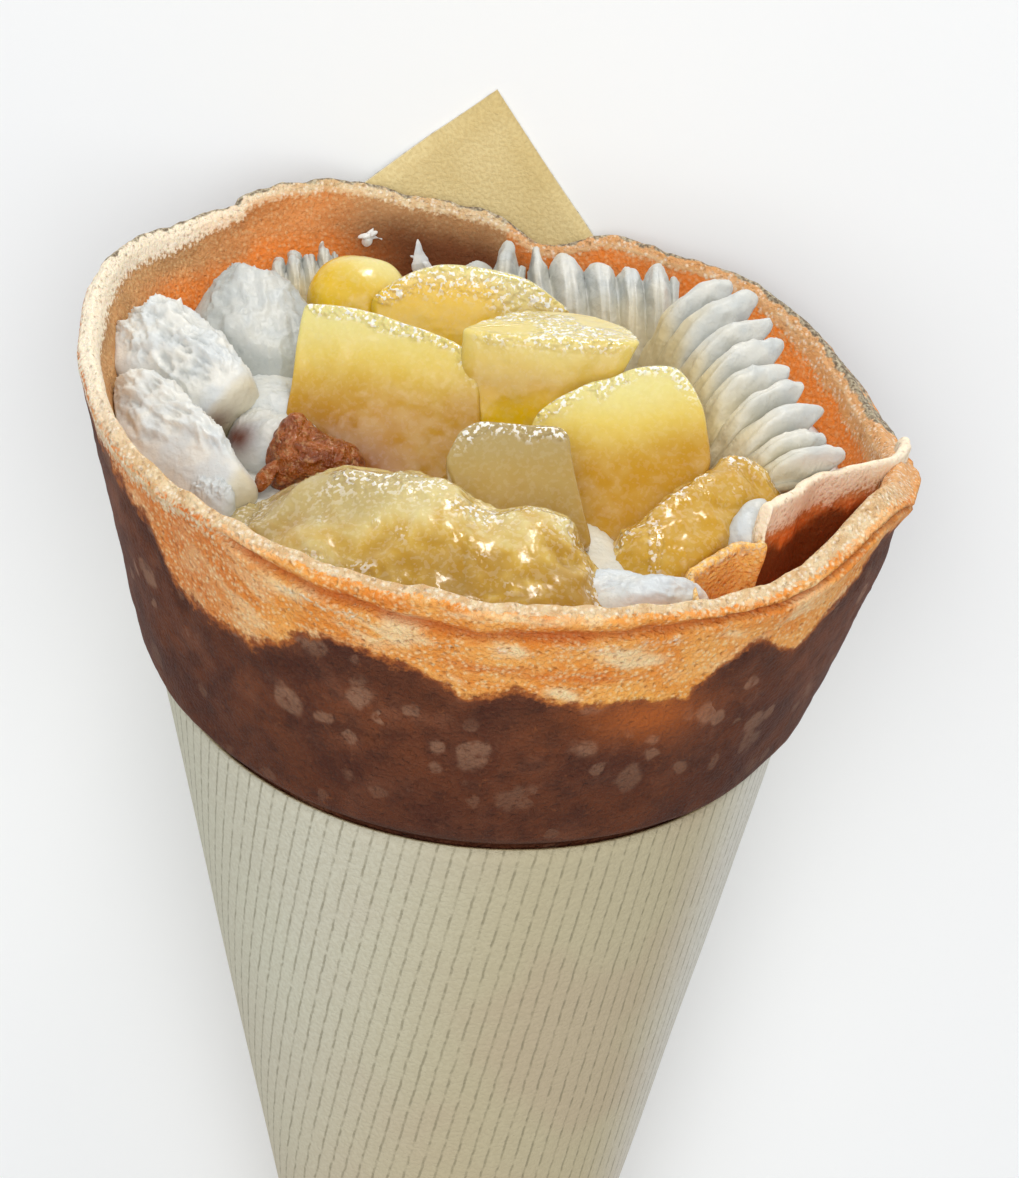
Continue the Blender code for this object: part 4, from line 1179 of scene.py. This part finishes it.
def build_fans():
    """Fans of piped cream, their surface finely streaked from root to tip. They take painted cool
    shade in their grooves and painted warm light at their foot, by the apple."""
    chance = np.random.default_rng(5)
    for number, (name, (node, *shape)) in enumerate(FANS.items()):
        ridges = shape[4]
        grid, s, ridge = pleats(*shape, chance.uniform(-0.1, 0.1, ridges + 2))
        seed = 80 + 4 * number
        flow = 0.3 * rough(grid, 4.0, seed, 2) + 0.06 * rough(grid, 1.0, seed + 1, 2)
        flow = flow + 0.45 * crests(grid, 2.0, seed + 2) * smooth(0.5, 0.95, s) * ridge
        grid = grid + outward(grid) * (flow * smooth(0.02, 0.2, s))[..., None]
        behind = name in ("fan_behind", "fan_left")
        # Painted cool shade: in the grooves, and more on the fans behind.
        cool_shade = 0.35 * behind + 0.2 + 0.45 * (1 - smooth(0.35, 0.95, ridge)) * (1 - 0.6 * behind)
        values = cream_values(grid, 0.7, 0.0, cool_shade)
        foot = smooth(0.8, 0.3, s + 0.15 * rough(grid, 5, seed + 3, 2))
        foot = foot * (0.75 if name == "fan_right" else 0.5)
        # Painted warm light at the foot, by the apple.
        values["warm_light"] = np.maximum(values["warm_light"], 0.1 + foot)
        make_topping(name, node, CREAM, grid, values)


def ruffled(grid, own, strength, stretch, low, seed):
    """Rough crests above this level: sharp noise, stretched along or across, by the normal. Also
    gives how deep each point lies between the crests."""
    normal = outward(grid)
    along, across, up = own
    local = np.stack([along * 13, across * 7, up * 6], axis=-1)
    local = local + 0.6 * np.stack([rough(local, 4, seed + part, 2) for part in range(3)], axis=-1)
    upper = smooth(low, low + 0.45, up + 0.3 * rough(grid, 6, seed + 7, 2)) * smooth(0.97, 0.6, along)
    stretch = np.array(stretch)
    crest = 0.5 * crests(local, stretch, seed + 4) + 0.3 * crests(local, stretch * 0.5, seed + 5)
    crest = crest + 0.22 * crests(local, stretch * 0.3, seed + 8)
    height = strength * (crest - 0.25) * upper + 0.8 * rough(grid, 7, seed + 6, 2)
    return grid + normal * height[..., None], smooth(0.4, 0.05, crest) * upper


# Each dab: its node and shape, then its crests: how high, how they stretch along, across and up,
# and the level that they start from. The last is how much painted cool shade its white takes.
DABS = {
    "lobe_back": (
        "cream_lobe_back",
        dict(centre=(-30, 10.4, 214.4), size=(12, 8, 8.2), yaw=-68, tilt=-22),
        1.4, (5, 1.7, 1.7), 0.25, 0.75,
    ),
    "lobe_low": (
        "cream_filling",
        dict(centre=(-26, 0, 210.5), size=(8, 6, 5.0), yaw=-60, tilt=-10),
        0.3, (5, 2.0, 2.0), 0.2, 0.3,
    ),
    "rope_upper": (
        "cream_rope_upper",
        dict(centre=(-37.2, 0.7, 214.5), size=(10.8, 6.4, 5.6), yaw=-45, tilt=-13, power=4, peak=0.4),
        1.5, (5, 1.7, 1.7), 0.15, 0.0,
    ),
    "rope_lower": (
        "cream_rope_lower",
        dict(
            centre=(-36.7, -12.2, 208.4), size=(13.2, 6.6, 6.0), yaw=-46, tilt=-6,
            power=3, peak=0.7, taper=0.2,
        ),
        1.4, (5, 1.7, 1.7), 0.5, 0.0,
    ),
    "dab_front": (
        "cream_dab_front",
        dict(centre=(17.2, -35.4, 202.9), size=(8.6, 3.0, 3.4), yaw=9, wave=0.16),
        0.7, (5, 2.4, 2.4), 0.2, 0.1,
    ),
    "dab_left": (
        "cream_filling",
        dict(centre=(-31.5, -20.5, 206.4), size=(4.4, 2.2, 3.2), yaw=-46),
        0.8, (2, 2, 2), 0.0, 0.1,
    ),
    "dab_crumb": (
        "cream_filling",
        dict(centre=(-25.5, -8, 208.6), size=(6, 5, 4.6), yaw=-20),
        0.4, (3, 2, 2), 0.3, 0.3,
    ),
}  # fmt: skip
# A dent in the back lobe, and the gap under the upper rope's end, where shadow is painted on the
# cream.
LOBE_DENT = [(-27.6, 1.8, 216.6, 5.0)]
CREVICE = [(-31.8 + 0.9 * step, -9.5 - 0.5 * step, 211.3 - 0.1 * step, 2.3) for step in range(4)]


def build_dabs():
    """Soft lumps and ropes of cream, ruffled above. The back lobe is dented, with painted cool shade
    in the dent, and the ropes take painted cool shade between their crests and painted warm light
    below and at their near end."""
    for number, (name, (node, sizes, strength, stretch, low, cool_shade)) in enumerate(DABS.items()):
        grid, *own = lump(**sizes)
        along, _, up = own
        dent = near(grid, LOBE_DENT) * (name == "lobe_back")
        grid = grid - outward(grid) * (0.8 * dent)[..., None]
        grid, between = ruffled(grid, own, strength * (1 - 0.85 * dent), stretch, low, 90 + 7 * number)
        values = cream_values(grid, 0.5, 0.08, cool_shade)
        if name.startswith("rope"):
            # Painted warm light at the near end and below, painted cool shade between the crests.
            near_end = 0.5 * smooth(0.86, 0.97, along)
            values["warm_light"] = np.maximum(values["warm_light"], near_end + 0.35 * smooth(0.2, -0.6, up))
            values["cool_shade"] = cool_shade + 0.5 * between
        if name == "lobe_back":
            # Painted cool shade, more in the dent and less on top.
            values["cool_shade"] = np.clip(cool_shade + 0.3 * dent - 0.4 * smooth(0.8, 0.95, up), 0, 1)
        if name == "dab_front":
            # Painted warm light, more lower down.
            values["warm_light"] = 0.35 * smooth(0.9, 0.2, up)
        if name in ("rope_upper", "lobe_low", "dab_crumb"):
            # Painted shadow in the gap under the rope's end.
            values["hollow_shadow"] = near(grid, CREVICE)
        make_topping(name, node, CREAM, grid, values)
    smear = leaf((28.6, -24.6, 205.0), (31.6, -19.6, 210.8), 1.9, 1.1, 0.8, 0.5, 8.0)
    smear = smear + outward(smear) * (0.3 * rough(smear, 2, 150, 2))[..., None]
    values = cream_values(smear, 0.2, 0, 0.2)
    make_topping("dab_pocket", "cream_filling", CREAM, smear, values)


# Where the left slice turns brown by the crumb.
SLICE_CRUMB_BROWN = [(-20.5, -13, 209, 6.5), (-15, -13, 208, 5)]
# Each slice: its node and material, its outline in its own plane, its place, and the levels
# along its height between which it turns golden, the lower gold being painted shade, and between
# which the deep yellow of painted shade shows.
SLICES = {
    "slice_left": (
        "apple_slice_left", "pale",
        [(-10.3, 10.3), (-6.5, 10.2), (-1, 9.9), (4, 9.0), (8.4, 7.7), (10.8, 6.4), (12.4, 2),
         (13.4, -4), (9, -10), (-3, -9), (-10.6, -6)],
        dict(centre=(-13.3, -4.5, 214.5), yaw=-10, lean=30, thick=3.1, ease=0.6, edge=0.5),
        (13, -5), (-30, -40),
    ),
    "slice_middle": (
        "apple_slice_middle", "pale",
        [(-9.6, -5.8), (-7.6, -6.5), (-4, -7.0), (3, -7.7), (8.4, -6.9), (7.2, -1.5), (3.5, 1.9),
         (-1.0, 2.4), (-4.4, 0.9), (-7.6, -2.8)],
        dict(centre=(5.3, -1.2, 217.3), lean=90, thick=7.2, taper=0.22, drift=1.9 + 1.9j),
        (1.9, -0.6), (0.35, -0.35),
    ),
    "slice_right": (
        "apple_slice_right", "pale",
        [(-11, 3), (-10.2, 5.6), (-7.2, 8), (-3.6, 9.9), (-0.9, 10.6), (0.3, 11.6), (3.2, 12.2),
         (6.6, 12.2), (8.2, 10), (9.4, 7), (10.4, 0), (8, -4), (3.4, -9), (-1, -12.5), (-4, -10),
         (-6, -3)],
        dict(centre=(15.5, -13.5, 211), yaw=4, lean=38, thick=3.0),
        (13, -3), (-30, -40),
    ),
    "slice_centre": (
        "apple_slice_centre", "clear",
        [(-9, 3), (-7.6, 6.6), (-5.4, 7.9), (0.4, 7.5), (3.6, 7.8), (4.8, 7), (6, 1.5), (8, -6),
         (2, -9), (-6, -5)],
        dict(centre=(4.3, -23, 210.5), lean=38, thick=2.4, ease=0.6, edge=0.5),
        (10, -6), (-30, -40),
    ),
    "slice_back": (
        "apple_slice_back", "pale",
        [(-13, 4.8), (-11.4, 6.4), (-7.4, 9), (-4, 10), (0, 9.9), (4, 9.5), (7.4, 8.8), (10, 7),
         (13, 5), (11, 1), (6, -4), (-2, -8), (-10, -3)],
        dict(centre=(-3.5, 15, 216), lean=20, thick=3.4, ease=1.2, edge=1.0),
        (13, -5), (9.6, 6.6),
    ),
}  # fmt: skip


def build_slices():
    """Cut slices with soft uneven faces, golden in patches and lower down, the lower gold being
    painted shade, and wet along their upper edge, with painted glints. The middle one lies flat,
    with painted glints in wet patches on top."""
    for number, (name, (node, kind, outline, sizes, golden, shade_yellow_levels)) in enumerate(SLICES.items()):
        grid, u, v, level, rim, upper = cut_piece(outline, **sizes)
        seed = 120 + 9 * number
        uneven = 0.25 * rough(grid, 8, seed, 2) + 0.03 * rough(grid, 1.5, seed + 3, 2)
        if name == "slice_middle":
            height, patches = level, 0.12 * rough(grid, 5, seed + 5, 2)
            wet = smooth(0.75, 0.97, level) * smooth(0.3, 0.55, value_noise(grid, 4, seed + 7))
            uneven = uneven + 0.3 * np.maximum(rough(grid, 1.2, seed + 6, 2), 0) * wet
        else:
            height, patches = v - 0.12 * u, 0.9 * rough(grid, 9, seed + 5, 1)
            wet = smooth(1.7, 0.3, rim + 0.9 * rough(grid, 2.2, seed + 4, 2)) * smooth(0.25, 0.6, upper)
            if name == "slice_back":
                wet = np.maximum(wet, smooth(5, 9, v + 1.5 * rough(grid, 4, seed + 8, 2) + 0.12 * np.abs(u)))
        # Painted shade: golden lower down, over the apple's own golden patches.
        gold = smooth(*golden, height + patches)
        # Deep yellow of painted shade lower down.
        shade_yellow = 0.95 * smooth(*shade_yellow_levels, height + patches)
        if name == "slice_back":
            shade_yellow = shade_yellow * smooth(11.0, 6.0, np.abs(u + 5))
        # Browner near the crumb, on the left slice.
        crumb_brown = near(grid, SLICE_CRUMB_BROWN) * (name == "slice_left")
        grid = grid + outward(grid) * uneven[..., None]
        # Painted shade: the clear slice dulled towards its top.
        dull_and_shade = 0.75 * (kind == "clear") * smooth(-12, 6, v)
        wet = np.clip(wet + 0.04, 0, 1)
        values = {"gold": gold, "shade_yellow": shade_yellow, "wet": wet, "dull_and_shade": dull_and_shade, "crumb_brown": crumb_brown}
        make_topping(name, node, APPLES[kind], grid, values)


# The glazed apple along the front lip, from left to right: back edge, ridge and front edge.
GLAZE = [
    ((-33, -18, 203.5), (-32.5, -24, 203.8), (-34, -28.5, 202.5)),
    ((-26, -19, 205), (-26, -25, 207.4), (-26.5, -35.5, 203)),
    ((-17, -19, 207), (-17, -27, 212.2), (-17.5, -40.5, 203.2)),
    ((-10, -20, 207), (-10, -28.5, 213.4), (-10, -43.4, 203)),
    ((-4, -23, 206), (-4, -30, 213.6), (-4, -44.8, 202.6)),
    ((1, -25, 206), (1, -32, 211.6), (1, -45.2, 202.4)),
    ((5, -26, 206), (5, -32, 212.2), (5, -45.4, 202.3)),
    ((9, -26, 205), (9, -32.5, 210.6), (9.5, -45, 202)),
    ((13, -28, 202.5), (13, -34, 206), (14, -44, 201.8)),
    ((18, -31, 201), (18, -37, 202.8), (18.5, -42, 201.4)),
]
JELLY = [
    ((13, -23, 202), (13, -27, 203.6), (14.5, -33, 201.5)),
    ((19, -18, 205), (19.3, -23.5, 209.8), (20.5, -31.5, 203)),
    ((25, -12, 207), (24, -19, 212.2), (25, -27.5, 205)),
    ((31, -8, 208), (29, -14.5, 213.6), (30, -22, 206.8)),
    ((37, -8, 207), (35.5, -14, 210.4), (35.5, -18, 207.5)),
]
GLAZE_WET, GLAZE_DULL = [(-30, -26, 206, 6)], [(-25, -25, 208, 6)]
# Each heap: its node, its material, its stretch of one of those routes, and its noise.
HEAPS = {
    "wedge_left": ("apple_wedge_left", "clear", GLAZE[:7], 180),
    "wedge_front": ("apple_wedge_front", "clear", GLAZE[3:], 180),
    "piece_right": ("apple_piece_right", "gold", JELLY, 198),
}


def build_heaps():
    """Softer glazed pieces, folded and finely swirled, with wet crests on their ridges, where glints
    are painted. They are golden in patches, to the right and low in front."""
    for name, (node, kind, route, seed) in HEAPS.items():
        back, ridge, front = zip(*route)
        grid, towards, rise = mound(back, ridge, front)
        warped = grid + 1.2 * rough(grid, 5, seed + 9, 1)[..., None]
        folds = 0.6 * rough(grid, 7, seed, 2) + 0.35 * rough(warped, (4.0, 2.6, 3.0), seed + 3, 1)
        fine = crests(warped, (5, 1.9, 1.9), seed + 11)
        swirls = crests(warped, (3.2, 1.3, 1.3), seed + 12)
        folds = folds + 0.45 * crests(warped, (6, 3.0, 3.0), seed + 4) - 0.35 + 0.22 * fine + 0.12 * swirls
        grid = grid + outward(grid) * (folds * smooth(-0.1, 0.3, rise))[..., None]
        patch = value_noise(warped, 6, seed + 5)
        streak = value_noise(warped, (1.6, 5.0, 5.0), seed + 7)
        gold = 0.75 * patch + 0.2 * streak + 0.019 * grid[..., 0] + 0.45 * smooth(0.1, 0.9, towards)
        gold = smooth(-0.1, 1.05, gold - 0.25 * fine - 0.2 * swirls - 0.1 * folds)
        on_ridge = np.exp(-(((towards + 0.02) / 0.26) ** 2))
        # Wet along the ridge and in patches, where glints are painted.
        wet = on_ridge * smooth(0.3, 0.5, value_noise(grid, 4, seed + 6)) + 0.08
        wet = wet + 0.5 * smooth(0.7, 0.8, value_noise(grid, 3, seed + 10)) + 0.5 * near(grid, GLAZE_WET)
        # Dull patches on the clear glaze.
        dull_and_shade = 0.5 * smooth(0.5, 0.75, value_noise(grid, 6.5, seed + 8)) * (kind == "clear")
        dull_and_shade = np.maximum(dull_and_shade, 0.75 * near(grid, GLAZE_DULL))
        values = {"gold": gold, "shade_yellow": 0.0, "wet": np.clip(wet, 0, 1), "dull_and_shade": dull_and_shade, "crumb_brown": 0.0}
        make_topping(name, node, APPLES[kind], grid, values)


def build_round():
    """The round of apple behind: a smooth ball, golden and deep yellow on the lower left in painted
    shade.
    """
    grid, along, _, up = lump((-18, 20.5, 218.5), (6.6, 6.0, 7.0), power=2.2, wave=0.02)
    grid = grid + outward(grid) * (0.3 * rough(grid, 5, 230, 2))[..., None]
    low = up + 0.35 * along
    # Painted shade on the lower left: golden and deep yellow.
    gold, shade_yellow = 0.6 * smooth(1.4, 0.4, low), 0.9 * smooth(1.1, 0.2, low)
    values = {"gold": gold, "shade_yellow": shade_yellow, "wet": 0.06, "dull_and_shade": 0.0, "crumb_brown": 0.0}
    make_topping("round_back", "apple_round_back", APPLE, grid, values)


def build_crumb():
    """The caramel crumb: a coarse lump with a bell-shaped crag, and a splinter beside it."""
    grid, along, _, up = lump((-20, -14.2, 209.2), (5.8, 4.0, 3.9), yaw=-15, wave=0.1)
    grid[..., 2] += 2.2 * np.exp(-(((along + 0.55) / 0.4) ** 2)) * np.maximum(up, 0)
    coarse = 0.6 * rough(grid, 3.2, 240, 3) + 0.2 * rough(grid, 1.0, 243, 2)
    grid = grid + outward(grid) * coarse[..., None]
    make_topping("crumb_left", "caramel_crumb", CRUMB, grid)
    wing = leaf((-26.2, -18.5, 207.2), (-23.6, -15.4, 210.6), 1.3, 0.8, 0.5, 0.4)
    make_topping("crumb_wing", "caramel_crumb", CRUMB, wing)


# Torn flecks of cream on the back wall: root, tip, width and height of each spike.
FLECKS = [
    ((-11.2, 39.4, 218.4), (-11.8, 40.2, 222.8), 1.7, 0.9),
    ((-9.4, 39.4, 218.8), (-12.6, 39.8, 220.6), 1.3, 0.8),
    ((-18.4, 39.2, 221.6), (-17.8, 40.4, 224.0), 0.9, 0.6),
    ((-19.6, 39.0, 222.9), (-16.4, 40.2, 222.6), 0.9, 0.6),
    ((-17.0, 39.4, 223.8), (-18.6, 39.4, 221.6), 0.8, 0.5),
]


def build_flecks():
    """Flecks of cream: short pointed ridges with a rough skin."""
    for number, (root, tip, width, height) in enumerate(FLECKS):
        grid = leaf(root, tip, width, height, blunt=1.4)
        grid = grid + outward(grid) * (0.22 * rough(grid, 1.2, 260 + number, 2))[..., None]
        name, values = f"fleck_{number + 1}", cream_values(grid, 0)
        make_topping(name, "cream_filling", CREAM, grid, values)


build_bed()
build_fans()
build_dabs()
build_slices()
build_heaps()
build_round()
build_crumb()
build_flecks()


# Floor, light and camera --------------------------------------------------------------------

FLOOR_REACH, FLOOR_LEVEL = 3.0, -0.0002


def add_floor():
    """A pale floor just under the flat that the cone lies on."""
    material, tree, shader = new_material("studio floor", Roughness=0.9)
    finish_colour(tree, shader, two_tone(tree, mottle(tree, 300.0, 0.3, 0.7), "#F8F8F7", "#F4F4F3"))
    mesh = bpy.data.meshes.new("floor")
    signs = ((-1, -1), (1, -1), (1, 1), (-1, 1))
    corners = [(x * FLOOR_REACH, y * FLOOR_REACH, FLOOR_LEVEL) for x, y in signs]
    mesh.from_pydata(corners, [], [(0, 1, 2, 3)])
    mesh.materials.append(material)
    floor = bpy.data.objects.new("floor", mesh)
    bpy.context.scene.collection.objects.link(floor)


def aim(away, up=(0.0, 0.0, 1.0), roll=0.0):
    """The turn that points -Z of a camera or light back along this direction."""
    back = mathutils.Vector(away).normalized()
    right = mathutils.Vector(up).cross(back).normalized()
    basis = mathutils.Matrix((right, back.cross(right), back)).transposed()
    return basis.to_quaternion() @ mathutils.Quaternion((0, 0, 1), roll)


def add_to_scene(name, data, location, rotation):
    """A light or a camera at this place, turned this way."""
    thing = bpy.data.objects.new(name, data)
    thing.location = location
    thing.rotation_mode = "QUATERNION"
    thing.rotation_quaternion = rotation
    bpy.context.scene.collection.objects.link(thing)
    return thing


LIGHT_TARGET = (0.0, 0.0, 205.0)
# Each light: its direction from the mouth in the standing cone, its distance and size in metres,
# its power and its colour.
LIGHTS = {
    "key": ((0.12, 0.1, 1.0), 0.7, 0.14, 2.0, (1.0, 0.96, 0.9)),
    "fill": ((0.0, -1.0, 0.3), 0.9, 0.9, 6.2, (0.98, 0.99, 1.0)),
}


def add_lights():
    """Square soft lights: a small one over the mouth and a broad one in front."""
    for name, (direction, distance, size, power, tone) in LIGHTS.items():
        away = turned(np.array(direction) / np.linalg.norm(direction))
        data = bpy.data.lights.new(name, "AREA")
        data.size = size
        data.energy = power
        data.color = tone
        add_to_scene(name, data, lay_down(LIGHT_TARGET) + away * distance, aim(away))


VIEW_DROP = math.radians(22.0)
VIEW_ROLL = math.radians(3.6017)
VIEW_DISTANCE = 333.0
VIEW_TARGET = (3.54, 0.0, 189.69)
LENS, SENSOR = 81.925976, 36.0


def add_camera():
    """The camera looks down on the standing cone's front by the view's drop, with a slight roll."""
    back = np.array([0.0, -math.cos(VIEW_DROP), math.sin(VIEW_DROP)])
    data = bpy.data.cameras.new("camera")
    data.lens = LENS
    data.sensor_width = SENSOR
    location = lay_down(np.array(VIEW_TARGET) + VIEW_DISTANCE * back)
    rotation = aim(turned(back), turned((0.0, 0.0, 1.0)), VIEW_ROLL)
    bpy.context.scene.camera = add_to_scene("camera", data, location, rotation)


SKY_COLOUR, SKY_STRENGTH = (0.93, 0.96, 1.0, 1.0), 0.45


def add_world():
    """An even pale sky, and colours as they are."""
    world = bpy.data.worlds.new("studio")
    world.use_nodes = True
    sky = world.node_tree.nodes["Background"]
    sky.inputs["Color"].default_value = SKY_COLOUR
    sky.inputs["Strength"].default_value = SKY_STRENGTH
    bpy.context.scene.world = world
    bpy.context.scene.view_settings.view_transform = "Standard"


add_floor()
add_world()
add_lights()
add_camera()
